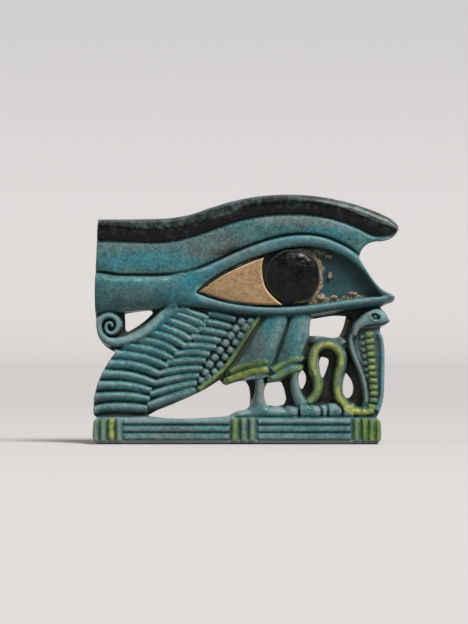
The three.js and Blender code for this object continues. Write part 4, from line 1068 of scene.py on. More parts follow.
@dataclass
class ReedBar:
    """Bar of three bound reeds that everything stands on."""

    depth: float = 6.7
    height: float = 5.85
    bevel: float = 0.85
    reed_edges: tuple[float, ...] = (1, 0.68, 0.345, 0)
    gap: float = 0.16
    cut: float = 0.16
    reed_rise: float = 0.52
    binding_rise: float = 0.8
    binding_width: float = 1.55
    binding_greens: tuple[float, ...] = (0.4, 0.45, 0.85, 0.4, 0.75, 0.5, 0.45, 0.65, 0.8, 0.7, 0.9)
    binding_yellows: tuple[float, ...] = (0, 0, 0.45, 0, 0, 0, 0, 0, 0.2, 0.2, 0.2)

    def shape(self, relief: Relief) -> None:
        """Raises the bar on the plaque's relief."""
        x, z = relief.places()
        z = z + 0 * x
        within = step_between(self.bevel - 0.1, self.bevel + 0.1, z)
        within = within * step_between(self.height, self.height - 0.2, z)
        surface = self.depth - 0.65 * np.maximum(self.bevel - z, 0) - self.cut * within
        surface = surface - 4 * np.maximum(z - self.height, 0)
        relief.lay(EVERYWHERE, surface, 0.1, {Paint.GREY: 0.15, Paint.YELLOW: 0.0, **CLEAN})
        # Painted light: the chamfer along the foot, which faces the floor, is made greyer.
        relief.mark(Paint.GREY, EVERYWHERE, step_between(self.bevel + 0.15, self.bevel - 0.15, z))
        self.lay_reeds(relief)
        self.bind(relief)

    def lay_reeds(self, relief: Relief) -> None:
        """Raises three rounded reeds in each bay between the bindings."""
        x, z = relief.places()
        edges = [self.bevel + (self.height - self.bevel) * share for share in self.reed_edges]
        for left, right in (place([(pixel, FOOT_PIXEL) for pixel in bay])[:, 0] for bay in BAYS):
            into = np.clip(np.minimum(x - left, right - x) / 0.5, 0, 1)
            for top, foot in zip(edges, edges[1:]):
                off = np.abs(2 * (z - (top + foot) / 2) / (top - foot - self.gap))
                rise = (self.reed_rise + self.cut) * crown(off, 2.2) * np.sqrt(into)
                rib = np.where(off < 1, self.depth - self.cut + rise, 0)
                relief.lay(EVERYWHERE, np.where(into > 0, rib, 0), 0.08, {})

    def bind(self, relief: Relief) -> None:
        """Raises the bindings across the reeds."""
        x, z = relief.places()
        reach = np.clip((z - self.bevel * 0.8) / 0.3, 0, 1) * np.clip((self.height - z) / 0.3, 0, 1)
        for pixel, green, yellow in zip(BINDINGS, self.binding_greens, self.binding_yellows):
            off = np.abs(x - spot((pixel, FOOT_PIXEL))[0]) / (self.binding_width / 2)
            rib = self.depth - self.cut + (self.binding_rise + self.cut) * crown(off, 1.8)
            rib = np.where((off < 1) & (reach > 0), rib - 0.5 * (1 - np.sqrt(reach)), 0)
            relief.lay(EVERYWHERE, rib, 0.08, {Paint.GREEN: green, Paint.GREY: 0.5, Paint.YELLOW: yellow})


@dataclass
class Graph:
    """A node tree with short ways to add nodes and join them."""

    tree: bpy.types.NodeTree

    def add(self, kind: str, inputs: dict[Any, Value] | None = None, **settings: Any) -> bpy.types.Node:
        """Adds a node.

        Args:
            kind: the node's type, without its ShaderNode prefix.
            inputs: for each of its sockets, by name or number, a value or a socket to join to it.
            settings: the node's own properties.

        Returns:
            The node.
        """
        node = self.tree.nodes.new(kind if kind.startswith("Node") else "ShaderNode" + kind)
        for name, value in settings.items():
            setattr(node, name, value)
        for name, value in (inputs or {}).items():
            self.join(node.inputs[name], value)
        return node

    def join(self, socket: Socket, value: Value) -> None:
        """Joins a socket to another one, or sets its value."""
        if isinstance(value, bpy.types.NodeSocket):
            self.tree.links.new(value, socket)
        elif isinstance(value, tuple) and len(value) == 3 and socket.type == "RGBA":
            socket.default_value = (*value, 1.0)
        else:
            socket.default_value = value

    def use(self, tree: bpy.types.NodeTree, place_socket: Socket, **inputs: Value) -> bpy.types.NodeOutputs:
        """Outputs of a shared effect about a place. Inputs are named with _ for a space."""
        node = self.add("Group", node_tree=tree)
        for name, value in {"Place": place_socket, **inputs}.items():
            self.join(node.inputs[name.replace("_", " ")], value)
        return node.outputs

    def math(self, operation: str, a: Value, b: Value = 0.0, clamp: bool = False) -> Socket:
        """Result of an operation on one or two values."""
        return self.add("Math", {0: a, 1: b}, operation=operation, use_clamp=clamp).outputs[0]

    def times(self, *values: Value) -> Socket:
        """Product of values."""
        return reduce(lambda a, b: self.math("MULTIPLY", a, b), values)

    def plus(self, *values: Value, clamp: bool = False) -> Socket:
        """Sum of values."""
        return reduce(lambda a, b: self.math("ADD", a, b, clamp), values)

    def less(self, a: Value, b: Value, clamp: bool = False) -> Socket:
        """Difference of two values."""
        return self.math("SUBTRACT", a, b, clamp)

    def grey(self, value: Socket) -> Socket:
        """A value as a colour or vector with three equal parts."""
        return self.add("CombineXYZ", {k: value for k in range(3)}).outputs[0]

    def parts(self, vector: Socket) -> Sequence[Socket]:
        """The three parts of a vector."""
        return self.add("SeparateXYZ", {0: vector}).outputs

    def mix(self, share: Value, a: Value, b: Value, blend: str = "MIX") -> Socket:
        """Colour a with that share of colour b on it."""
        return self.add("Mix", {0: share, 6: a, 7: b}, data_type="RGBA", blend_type=blend).outputs[2]

    def ramp(self, value: Value, low: float, high: float, to_low: float = 0.0,
             to_high: float = 1.0) -> Socket:
        """A value stretched smoothly from one range to another."""
        return self.add("MapRange", {0: value, 1: low, 2: high, 3: to_low, 4: to_high},
                        interpolation_type="SMOOTHSTEP").outputs[0]

    def noise(self, place_socket: Socket, scale: Value, detail: float = 4.0, rough: float = 0.55) -> Socket:
        """Noise about a place, from 0 to 1. Scale is in waves per metre."""
        return self.add("TexNoise", {"Vector": place_socket, "Scale": scale, "Detail": detail,
                                     "Roughness": rough}).outputs[0]

    def patches(self, place_socket: Socket, waves: tuple, *limits: float) -> Socket:
        """Noise of some scale, detail and roughness, stretched as by ramp."""
        return self.ramp(self.noise(place_socket, *waves), *limits)

    def shaken(self, value: Value, place_socket: Socket, waves: tuple, amount: Value) -> Socket:
        """A value made uneven by noise, which spreads it by that amount."""
        return self.plus(value, self.times(self.less(self.noise(place_socket, *waves), 0.5), amount))


class Group:
    """A shader node group with named sockets."""

    def __init__(self, name: str, outputs: Sequence[str], inputs: dict[str, Any]) -> None:
        """An empty group, whose first input is a place.

        Args:
            name: the group's name.
            outputs: its outputs' names. Color is a colour, and the others are numbers.
            inputs: for each further input its default, a number or a colour.
        """
        self.tree = bpy.data.node_groups.new(name, "ShaderNodeTree")
        new_socket = self.tree.interface.new_socket
        new_socket("Place", in_out="INPUT", socket_type="NodeSocketVector")
        for title, value in inputs.items():
            tone = isinstance(value, tuple)
            socket = new_socket(title, in_out="INPUT", socket_type=COLOUR_SOCKET if tone else NUMBER_SOCKET)
            socket.default_value = (*value, 1.0) if tone else value
        for title in outputs:
            kind = COLOUR_SOCKET if title == "Color" else NUMBER_SOCKET
            new_socket(title, in_out="OUTPUT", socket_type=kind)
        self.graph = Graph(self.tree)
        self.inputs = self.graph.add("NodeGroupInput").outputs
        self.result = self.graph.add("NodeGroupOutput").inputs

    def give(self, **values: Value) -> bpy.types.NodeTree:
        """Sets the group's outputs, by name with _ for a space, and returns its tree."""
        for name, value in values.items():
            self.graph.join(self.result[name.replace("_", " ")], value)
        return self.tree


class Effects:
    """Shader effects that several finishes share, each one node group."""

    def __init__(self) -> None:
        """Builds the groups once."""
        self.mottle, self.ageing, self.grain = self._mottle(), self._ageing(), self._grain()
        self.broken, self.tinted = self._broken(), self._tinted()

    @staticmethod
    def _mottle() -> bpy.types.NodeTree:
        """Two tones in soft patches, with specks of a third."""
        group = Group("mottle", ("Color", "Patch"), {
            "Tone A": (0.1, 0.1, 0.1), "Tone B": (0.2, 0.2, 0.2), "Speck": (0.3, 0.3, 0.3),
            "Patch Scale": 260.0, "Speck Scale": 2600.0, "Speck Amount": 0.3})
        g, given = group.graph, group.inputs
        patch = g.patches(given["Place"], (given["Patch Scale"], 6.0, 0.62), 0.36, 0.66)
        tone = g.mix(patch, given["Tone A"], given["Tone B"])
        speck = g.patches(given["Place"], (given["Speck Scale"], 3.0, 0.7), 0.53, 0.66)
        tone = g.mix(g.times(speck, given["Speck Amount"]), tone, given["Speck"])
        return group.give(Color=tone, Patch=patch)

    @staticmethod
    def _ageing() -> bpy.types.NodeTree:
        """Crests made pale where worn and by painted highlights, hollows darkened by painted shade with dirt,
        and dust in hollows, all broken up by noise.
        """
        group = Group("ageing", ("Color", "Worn Mask", "Grime Mask"), {
            "Color": (0.2, 0.2, 0.2), "Crest": 0.0, "Hollow": 0.0, "Worn": (0.3, 0.35, 0.33),
            "Grime": (0.02, 0.02, 0.018), "Dust": (0.16, 0.12, 0.08), "Wear Amount": 0.5, "Grime Amount": 0.8,
            "Dust Amount": 0.3})
        g, given = group.graph, group.inputs
        at = given["Place"]
        # Worn paleness and painted highlight on the crests.
        worn_and_highlight_share = g.ramp(g.shaken(given["Crest"], at, (700.0, 5.0, 0.65), 1.1), 0.3, 0.9)
        worn_and_highlight_share = g.times(worn_and_highlight_share, given["Wear Amount"])
        # Painted shade with dirt in the hollows.
        dirt = g.ramp(g.shaken(given["Hollow"], at, (900.0, 4.0, 0.6), 0.7), 0.12, 0.72)
        dirt = g.times(dirt, given["Grime Amount"])
        dusty = g.times(g.patches(at, (420.0, 5.0, 0.7), 0.5, 0.68), g.ramp(given["Hollow"], 0.1, 0.5),
                        given["Dust Amount"])
        colour = given["Color"]
        for share, tone in ((worn_and_highlight_share, "Worn"), (dirt, "Grime"), (dusty, "Dust")):
            colour = g.mix(share, colour, given[tone])
        return group.give(Color=colour, Worn_Mask=worn_and_highlight_share, Grime_Mask=dirt)

    @staticmethod
    def _grain() -> bpy.types.NodeTree:
        """Height of a fired or ground surface: soft waves, fine grain and small pits."""
        group = Group("grain", ("Height", "Pits"), {
            "Wave Scale": 500.0, "Grain Scale": 4200.0, "Pit Scale": 1500.0, "Grain Amount": 0.35,
            "Pit Amount": 0.5})
        g, given = group.graph, group.inputs
        at = given["Place"]
        wave = g.noise(at, given["Wave Scale"], 3.0, 0.5)
        grain = g.times(g.noise(at, given["Grain Scale"], 3.0, 0.6), given["Grain Amount"])
        cell = g.add("TexVoronoi", {"Vector": at, "Scale": given["Pit Scale"], "Randomness": 1.0})
        pit = g.ramp(cell.outputs["Distance"], 0.22, 0.05)
        pit = g.times(pit, g.patches(at, (640.0, 2.0, 0.5), 0.52, 0.62))
        return group.give(Height=g.less(g.plus(wave, grain), g.times(pit, given["Pit Amount"])), Pits=pit)

    @staticmethod
    def _broken() -> bpy.types.NodeTree:
        """A painted mask with a brushed, worn edge."""
        group = Group("broken edge", ("Mask",), {"Mask": 0.0, "Scale": 1100.0, "Raggedness": 0.6})
        g, given = group.graph, group.inputs
        mask = g.shaken(given["Mask"], given["Place"], (given["Scale"], 5.0, 0.65), given["Raggedness"])
        return group.give(Mask=g.ramp(mask, 0.3, 0.7))

    @staticmethod
    def _tinted() -> bpy.types.NodeTree:
        """A mask thinned out into soft patches and specks."""
        group = Group("tinted", ("Mask",), {"Mask": 0.0, "Patch Scale": 420.0, "Speckle": 0.5})
        g, given = group.graph, group.inputs
        patch = g.patches(given["Place"], (given["Patch Scale"], 5.0, 0.65), 0.3, 0.62, 0.35, 1.0)
        speck = g.patches(given["Place"], (2400.0, 3.0, 0.7), 0.38, 0.6)
        speck = g.less(1.0, g.times(g.less(1.0, speck), given["Speckle"]))
        return group.give(Mask=g.times(given["Mask"], patch, speck))


@dataclass(frozen=True)
class Finish:
    """What all finishes share: a name, and how their material starts and ends."""

    name: str

    def begin(self) -> tuple[bpy.types.Material, Graph, Socket]:
        """An empty material, its graph, and places on the piece in metres."""
        material = bpy.data.materials.new(self.name)
        material.use_nodes = True
        material.node_tree.nodes.clear()
        graph = Graph(material.node_tree)
        return material, graph, graph.add("TexCoord").outputs["Object"]

    @staticmethod
    def mask(graph: Graph, name: str) -> Socket:
        """A mask stored with the mesh."""
        return graph.add("Attribute", attribute_name=name).outputs["Fac"]

    @staticmethod
    def end(graph: Graph, inputs: dict[str, Value], height: Socket, strength: float, distance: float) -> None:
        """Adds the shader.

        Args:
            graph: the material's graph.
            inputs: the shader's sockets, by name.
            height: the height of the fine surface.
            strength: how strongly it shades.
            distance: how high it is, in metres.
        """
        bump = graph.add("Bump", {"Height": height, "Strength": strength, "Distance": distance})
        shader = graph.add("BsdfPrincipled", {**inputs, "Normal": bump.outputs[0]})
        graph.add("OutputMaterial", {"Surface": shader.outputs[0]})


@dataclass(frozen=True)
class Coat:
    """What the layers of the glaze are built with: a graph, places, shared effects and painted masks."""

    graph: Graph
    at: Socket
    effects: Effects
    mask: dict[Paint, Socket]

    def broken(self, paint: Paint, scale: float, ragged: float) -> Socket:
        """A painted mask with a worn edge."""
        return self.graph.use(self.effects.broken, self.at, Mask=self.mask[paint], Scale=scale,
                              Raggedness=ragged)[0]

    def tinted(self, paint: Paint, scale: float, speckle: float) -> Socket:
        """A painted mask thinned into patches and specks."""
        return self.graph.use(self.effects.tinted, self.at, Mask=self.mask[paint], Patch_Scale=scale,
                              Speckle=speckle)[0]

    def patches(self, waves: tuple, *limits: float) -> Socket:
        """Noise of some scale, detail and roughness, stretched as by ramp."""
        return self.graph.patches(self.at, waves, *limits)


@dataclass(frozen=True)
class Faience(Finish):
    """Blue-green glaze with a black brow and green details, aged and worn, with painted shade and highlights.
    """

    name: str = "faience"
    teal: Colour = (0.042, 0.158, 0.172)
    pale_teal: Colour = (0.106, 0.248, 0.254)
    sand: Colour = (0.230, 0.215, 0.160)
    blue: Colour = (0.036, 0.255, 0.320)
    grey: Colour = (0.150, 0.128, 0.110)
    pepper: Colour = (0.014, 0.044, 0.048)
    bare_dark: Colour = (0.026, 0.032, 0.032)
    bare_pale: Colour = (0.085, 0.120, 0.122)
    olive: Colour = (0.052, 0.122, 0.032)
    green: Colour = (0.122, 0.240, 0.050)
    yellow: Colour = (0.400, 0.420, 0.075)
    black: Colour = (0.0030, 0.0032, 0.0034)
    faded_black: Colour = (0.044, 0.054, 0.056)
    # Crests are made pale where worn and where highlights are painted: their colour is multiplied by this,
    # then mixed with the next.
    crest_gain: Colour = (1.9, 1.6, 1.55)
    crest_pale_tone: Colour = (0.350, 0.345, 0.330)
    # Painted shade with dirt in the hollows.
    hollow_shade_and_grime: Colour = (0.026, 0.056, 0.055)
    brown: Colour = (0.066, 0.050, 0.034)
    # Painted shadow in the eye's cell and under the lids.
    dim: Colour = (0.014, 0.046, 0.056)
    # Painted shade.
    shade: Colour = (0.032, 0.040, 0.032)
    # Painted shade along grooves, and the dark joint by the iris.
    groove: Colour = (0.026, 0.036, 0.031)
    # Painted shadow in the sunken web, mixed with the brown earth below.
    recess_shadow: Colour = (0.009, 0.010, 0.009)
    earth: Colour = (0.050, 0.038, 0.024)
    stained_lime: Colour = (0.110, 0.078, 0.048)
    lime: Colour = (0.560, 0.450, 0.320)
    pit: Colour = (0.018, 0.020, 0.018)
    # Painted light on the foot's chamfer.
    painted_foot_light: Colour = (0.400, 0.480, 0.465)
    foot_height: Point = (0.0012, 0.0007)
    # How far crests are made pale, where worn and where highlights are painted, at most.
    most_wear_and_highlight: float = 0.8
    ink_spares: float = 0.76
    bare_spares: float = 0.58
    green_spares: float = 0.35
    roughness: float = 0.17
    worn_roughness: float = 0.14
    grime_roughness: float = 0.3
    sand_roughness: float = 0.14
    mortar_roughness: float = 0.4

    def build(self, effects: Effects) -> bpy.types.Material:
        """The glaze's material."""
        material, g, at = self.begin()
        coat = Coat(g, at, effects, {paint: self.mask(g, paint.value) for paint in Paint})
        bare = g.times(g.ramp(coat.mask[Paint.GREY], 0.84, 0.94), g.ramp(coat.mask[Paint.CREST], 0.0, 0.3))
        ink = coat.broken(Paint.BLACK, 1200.0, 0.75)
        colour = self.painted(coat, self.glazed(coat, bare), ink)
        # Worn paleness and painted highlight, spared by the ink, the bare edge and green.
        spared = g.plus(g.times(ink, self.ink_spares), g.times(bare, self.bare_spares))
        wear_and_highlight = g.less(self.most_wear_and_highlight, spared, clamp=True)
        wear_and_highlight = g.times(wear_and_highlight, g.less(1.0, g.times(coat.mask[Paint.GREEN], self.green_spares)))
        # The pale colour of crests, where worn and where highlights are painted.
        pale = g.mix(0.42, g.mix(1.0, colour, self.crest_gain, "MULTIPLY"), self.crest_pale_tone)
        # The glaze aged: crests worn and given painted highlights, hollows given painted shade with dirt and
        # dust.
        aged = g.use(effects.ageing, at, Color=colour, Crest=coat.mask[Paint.CREST],
                     Hollow=coat.mask[Paint.HOLLOW], Worn=pale, Grime=self.hollow_shade_and_grime, Dust=self.brown,
                     Wear_Amount=wear_and_highlight, Grime_Amount=0.78, Dust_Amount=0.5)
        grain = g.use(effects.grain, at, Grain_Amount=0.35, Pit_Amount=0.6)
        colour = g.mix(g.times(grain["Pits"], 0.6), self.soiled_and_shaded(coat, aged["Color"]), self.pit)
        # Painted light on the foot's chamfer.
        colour = g.mix(g.times(g.ramp(g.parts(at)[2], *self.foot_height), 0.8), colour, self.painted_foot_light)
        rough = g.plus(self.roughness, g.times(aged["Worn Mask"], self.worn_roughness),
                       g.times(aged["Grime Mask"], self.grime_roughness),
                       g.times(coat.mask[Paint.SANDY], self.sand_roughness),
                       g.times(coat.mask[Paint.MORTAR], self.mortar_roughness), clamp=True)
        self.end(g, {"Base Color": colour, "Roughness": rough, "Specular IOR Level": 0.2},
                 grain["Height"], strength=0.55, distance=0.00016)
        return material

    def glazed(self, coat: Coat, bare: Socket) -> Socket:
        """The mottled glaze, bluer and greyer in places, peppered, cloudy and bare on the brow's edge."""
        g, sandy = coat.graph, coat.mask[Paint.SANDY]
        colour = g.use(coat.effects.mottle, coat.at, Tone_A=self.teal, Tone_B=self.pale_teal, Speck=self.sand,
                       Speck_Amount=g.plus(0.36, g.times(sandy, 0.4)), Speck_Scale=2500.0)["Color"]
        colour = g.mix(coat.tinted(Paint.BLUE, 380.0, 0.75), colour, self.blue)
        colour = g.mix(g.times(coat.tinted(Paint.GREY, 460.0, 0.55), 0.95), colour, self.grey)
        pepper = g.times(coat.patches((2700.0, 2.0, 0.6), 0.55, 0.66), g.plus(0.35, g.times(sandy, 0.35)))
        colour = g.mix(pepper, colour, self.pepper)
        cloud = g.grey(coat.patches((1300.0, 5.0, 0.72), 0.3, 0.7, 0.66, 1.36))
        colour = g.mix(1.0, colour, cloud, "MULTIPLY")
        patchy = g.mix(coat.patches((520.0, 5.0, 0.6), 0.4, 0.62), self.bare_dark, self.bare_pale)
        return g.mix(g.times(bare, 0.9), colour, patchy)

    def painted(self, coat: Coat, colour: Socket, ink: Socket) -> Socket:
        """The glaze with its green, yellow and black paint, the black faded in patches."""
        g = coat.graph
        green = g.mix(coat.patches((700.0, 5.0, 0.65), 0.4, 0.6), self.olive, self.green)
        colour = g.mix(coat.broken(Paint.GREEN, 700.0, 1.5), colour, green)
        colour = g.mix(g.times(coat.broken(Paint.YELLOW, 520.0, 1.7), 0.8), colour, self.yellow)
        colour = g.mix(ink, colour, self.black)
        fade = g.times(coat.patches((560.0, 6.0, 0.72), 0.48, 0.66), ink, 0.7)
        return g.mix(fade, colour, self.faded_black)

    def soiled_and_shaded(self, coat: Coat, colour: Socket) -> Socket:
        """The aged glaze with its dirt, painted shadow and shade, and mortar."""
        g, mask = coat.graph, coat.mask
        # Painted shadow in the sunken web, mixed with brown earth.
        recess_shadow_and_earth = g.mix(coat.patches((520.0,), 0.42, 0.66), self.recess_shadow, self.earth)
        lime = g.mix(coat.patches((1900.0, 4.0, 0.7), 0.36, 0.58), self.stained_lime, self.lime)
        # In turn: brown dirt, painted shadow, painted shade, painted shade in grooves, painted shadow in the
        # sunken web, and mortar.
        for share, tone in (
                (g.times(coat.broken(Paint.DIRT, 700.0, 0.9), 0.8), self.brown),
                (g.times(mask[Paint.DIM], 0.72), self.dim),
                (g.times(mask[Paint.SHADE], coat.patches((700.0,), 0.3, 0.6, 0.5, 0.85)), self.shade),
                (g.times(mask[Paint.LINE], coat.patches((900.0,), 0.2, 0.55, 0.55, 1.0)), self.groove),
                (g.times(mask[Paint.RECESS], 0.92), recess_shadow_and_earth),
                (g.times(mask[Paint.MORTAR], 0.92), lime)):
            colour = g.mix(share, colour, tone)
        return colour


@dataclass(frozen=True)
class Aragonite(Finish):
    """Aged tan stone of the white of the eye, with a painted highlight along its bevel."""

    name: str = "white_stone"
    tan: Colour = (0.350, 0.200, 0.092)
    pale_tan: Colour = (0.460, 0.290, 0.148)
    fleck: Colour = (0.11, 0.060, 0.030)
    band: Colour = (0.44, 0.30, 0.175)
    vein: Colour = (0.10, 0.055, 0.028)
    bevel: Colour = (0.72, 0.47, 0.24)
    pit: Colour = (0.13, 0.08, 0.04)

    def build(self, effects: Effects) -> bpy.types.Material:
        """The stone's material."""
        material, g, at = self.begin()
        mottle = g.use(effects.mottle, at, Tone_A=self.tan, Tone_B=self.pale_tan, Speck=self.fleck,
                       Patch_Scale=900.0, Speck_Scale=2600.0, Speck_Amount=0.55)
        band = g.add("TexWave", {"Vector": at, "Scale": 240.0, "Distortion": 9.0, "Detail": 4.0,
                                 "Detail Scale": 2.4}, bands_direction="Z").outputs["Fac"]
        colour = g.mix(g.ramp(band, 0.5, 0.95, 0.0, 0.35), mottle["Color"], self.band)
        across, _, up = g.parts(at)
        light = g.plus(g.ramp(across, -0.0105, 0.0036, -0.05, 0.16), g.ramp(up, 0.031, 0.036, -0.1, 0.0), 1.0)
        colour = g.mix(1.0, colour, g.grey(light), "MULTIPLY")
        vein = g.ramp(g.math("ABSOLUTE", g.less(g.noise(at, 330.0, 3.0, 0.6), 0.5)), 0.022, 0.0)
        colour = g.mix(g.times(vein, 0.55), colour, self.vein)
        # The bevel's paler colour is a painted highlight.
        aged = g.use(effects.ageing, at, Color=colour, Crest=self.mask(g, "crest"), Worn=self.bevel,
                     Wear_Amount=0.95, Grime_Amount=0.0, Dust_Amount=0.0)
        grain = g.use(effects.grain, at, Grain_Scale=5200.0, Grain_Amount=0.3, Pit_Amount=0.5)
        colour = g.mix(g.times(grain["Pits"], 0.5), aged["Color"], self.pit)
        self.end(g, {"Base Color": colour, "Roughness": g.ramp(mottle["Patch"], 0.0, 1.0, 0.5, 0.62),
                     "Subsurface Weight": 0.04}, grain["Height"],
                 strength=0.3, distance=0.00008)
        return material


@dataclass(frozen=True)
class Obsidian(Finish):
    """Black volcanic glass of the iris, its polish clouded in patches."""

    name: str = "dark_stone"
    glass: Colour = (0.0016, 0.0017, 0.0020)
    cloud: Colour = (0.0105, 0.0108, 0.0115)
    fleck: Colour = (0.06, 0.065, 0.065)
    pale_edge: Colour = (0.085, 0.09, 0.09)

    def build(self, effects: Effects) -> bpy.types.Material:
        """The glass's material."""
        material, g, at = self.begin()
        mottle = g.use(effects.mottle, at, Tone_A=self.glass, Tone_B=self.cloud, Speck=self.fleck,
                       Patch_Scale=480.0, Speck_Scale=2400.0, Speck_Amount=0.2)
        colour = g.mix(g.times(self.mask(g, "crest"), 0.7), mottle["Color"], self.pale_edge)
        grain = g.use(effects.grain, at, Wave_Scale=650.0, Grain_Amount=0.12, Pit_Amount=0.5)
        rough = g.ramp(mottle["Patch"], 0.0, 1.0, 0.12, 0.36)
        self.end(g, {"Base Color": colour, "Roughness": rough, "Specular IOR Level": 0.2},
                 grain["Height"], strength=0.7, distance=0.00034)
        return material


@dataclass(frozen=True)
class LimeMortar(Finish):
    """Tan lime mortar, gritty and stained."""

    name: str = "mortar"
    tan: Colour = (0.26, 0.185, 0.12)
    pale: Colour = (0.50, 0.40, 0.29)
    grit: Colour = (0.05, 0.035, 0.025)

    def build(self, effects: Effects) -> bpy.types.Material:
        """The mortar's material."""
        material, g, at = self.begin()
        mottle = g.use(effects.mottle, at, Tone_A=self.tan, Tone_B=self.pale, Speck=self.grit,
                       Patch_Scale=1300.0, Speck_Scale=3600.0, Speck_Amount=0.75)
        grain = g.use(effects.grain, at, Wave_Scale=1500.0, Grain_Scale=5000.0, Grain_Amount=0.7,
                      Pit_Scale=2600.0, Pit_Amount=0.8)
        self.end(g, {"Base Color": mottle["Color"], "Roughness": 0.9, "Specular IOR Level": 0.2},
                 grain["Height"], strength=0.8, distance=0.00022)
        return material


@dataclass(frozen=True)
class Paper(Finish):
    """Pale seamless paper under and behind the amulet."""

    name: str = "paper"
    floor_tone: Colour = (0.775, 0.745, 0.730)
    far_tone: Colour = (0.655, 0.625, 0.618)
    wall_tone: Colour = (0.560, 0.548, 0.545)
    tooth_tone: Colour = (0.6, 0.59, 0.58)
    bounce_tone: Colour = (0.220, 0.215, 0.210)

    def build(self, effects: Effects) -> bpy.types.Material:
        """The paper's material."""
        material, g, at = self.begin()
        tooth = g.noise(at, 900.0, 3.0, 0.6)
        _, depth, height = g.parts(at)
        colour = g.mix(g.ramp(depth, -0.4, 0.6), self.floor_tone, self.far_tone)
        colour = g.mix(g.ramp(height, 0.0, 0.23), colour, self.wall_tone)
        colour = g.mix(g.ramp(tooth, 0.3, 0.7, 0.0, 0.02), colour, self.tooth_tone)
        path = g.add("LightPath").outputs
        seen = g.math("MAXIMUM", path["Is Glossy Ray"], path["Is Transmission Ray"])
        colour = g.mix(g.math("MAXIMUM", path["Is Camera Ray"], seen), self.bounce_tone, colour)
        self.end(g, {"Base Color": colour, "Roughness": 0.95, "Specular IOR Level": 0.1}, tooth, 0.02, 0.0001)
        return material


def make_object(name: str, corners: Array, faces: Array, most_faces: int | None = None) -> bpy.types.Object:
    """An object of a smooth mesh.

    Args:
        name: the piece's name.
        corners: the mesh's corners, in metres.
        faces: its faces, as rows of corner numbers.
        most_faces: how many triangles to thin it to, or None for all.

    Returns:
        The object, linked to the scene.
    """
    mesh = bpy.data.meshes.new(name)
    mesh.from_pydata(corners.tolist(), [], faces.tolist())
    piece = bpy.data.objects.new(name, mesh)
    bpy.context.scene.collection.objects.link(piece)
    triangles = 2 * len(faces)
    if most_faces and triangles > most_faces:
        thin = piece.modifiers.new("thin", "DECIMATE")
        thin.ratio = most_faces / triangles
        made = bpy.data.meshes.new_from_object(piece.evaluated_get(bpy.context.evaluated_depsgraph_get()))
        piece.modifiers.clear()
        piece.data = made
    piece.data.shade_smooth()
    return piece


def store(piece: bpy.types.Object, name: str, values: Array) -> None:
    """Stores a mask with a piece's mesh, one value to each corner."""
    layer = piece.data.attributes.new(name, "FLOAT", "POINT")
    layer.data.foreach_set("value", np.clip(values, 0, 1).astype(np.float32))


def corners_of(piece: bpy.types.Object) -> tuple[Array, Array, Array]:
    """A piece's corners as x, height and distance from the back, in millimetres."""
    flat = np.empty(3 * len(piece.data.vertices), np.float32)
    piece.data.vertices.foreach_get("co", flat)
    x, y, z = flat.reshape(-1, 3).astype(float).T / MM
    return x, z, BACK_Y - y


def body_of_relief(relief: Relief, out: Array, back: float, rounding: float, depth_step: float,
                   bore: tuple[float, float, float] | None = None) -> tuple[Array, Array]:
    """Mesh of the solid between a relief's surface and its back, inside an outline.

    Args:
        relief: the heights of the front.
        out: each place's distance to the outline, below zero inside.
        back: the height of the back.
        rounding: how far edges are rounded.
        depth_step: the grid's step from the back to the front.
        bore: height, depth from the back and radius of a lengthwise bore, if there is one.

    Returns:
        The mesh's corners in metres, and its faces.
    """
    front = relief.height
    slope = np.sqrt(1 + sum(steep * steep for steep in np.gradient(front, relief.pitch)))
    levels = np.arange(back - 2.5 * depth_step, float(front.max()) + 3 * depth_step, depth_step)
    values = np.empty((*front.shape, len(levels)), np.float32)
    for k, level in enumerate(levels):
        solid = higher(higher((level - front) / slope, back - level, rounding), out, rounding)
        if bore:
            solid = higher(solid, bore[2] - np.hypot(relief.z[None, :] - bore[0], level - bore[1]), 0.15)
        values[:, :, k] = solid
    origin = np.array([relief.x[0], relief.z[0], levels[0]])
    corners, faces = skin(values, origin, np.array([relief.pitch, relief.pitch, depth_step]))
    return np.stack([corners[:, 0], BACK_Y - corners[:, 2], corners[:, 1]], axis=1) * MM, faces


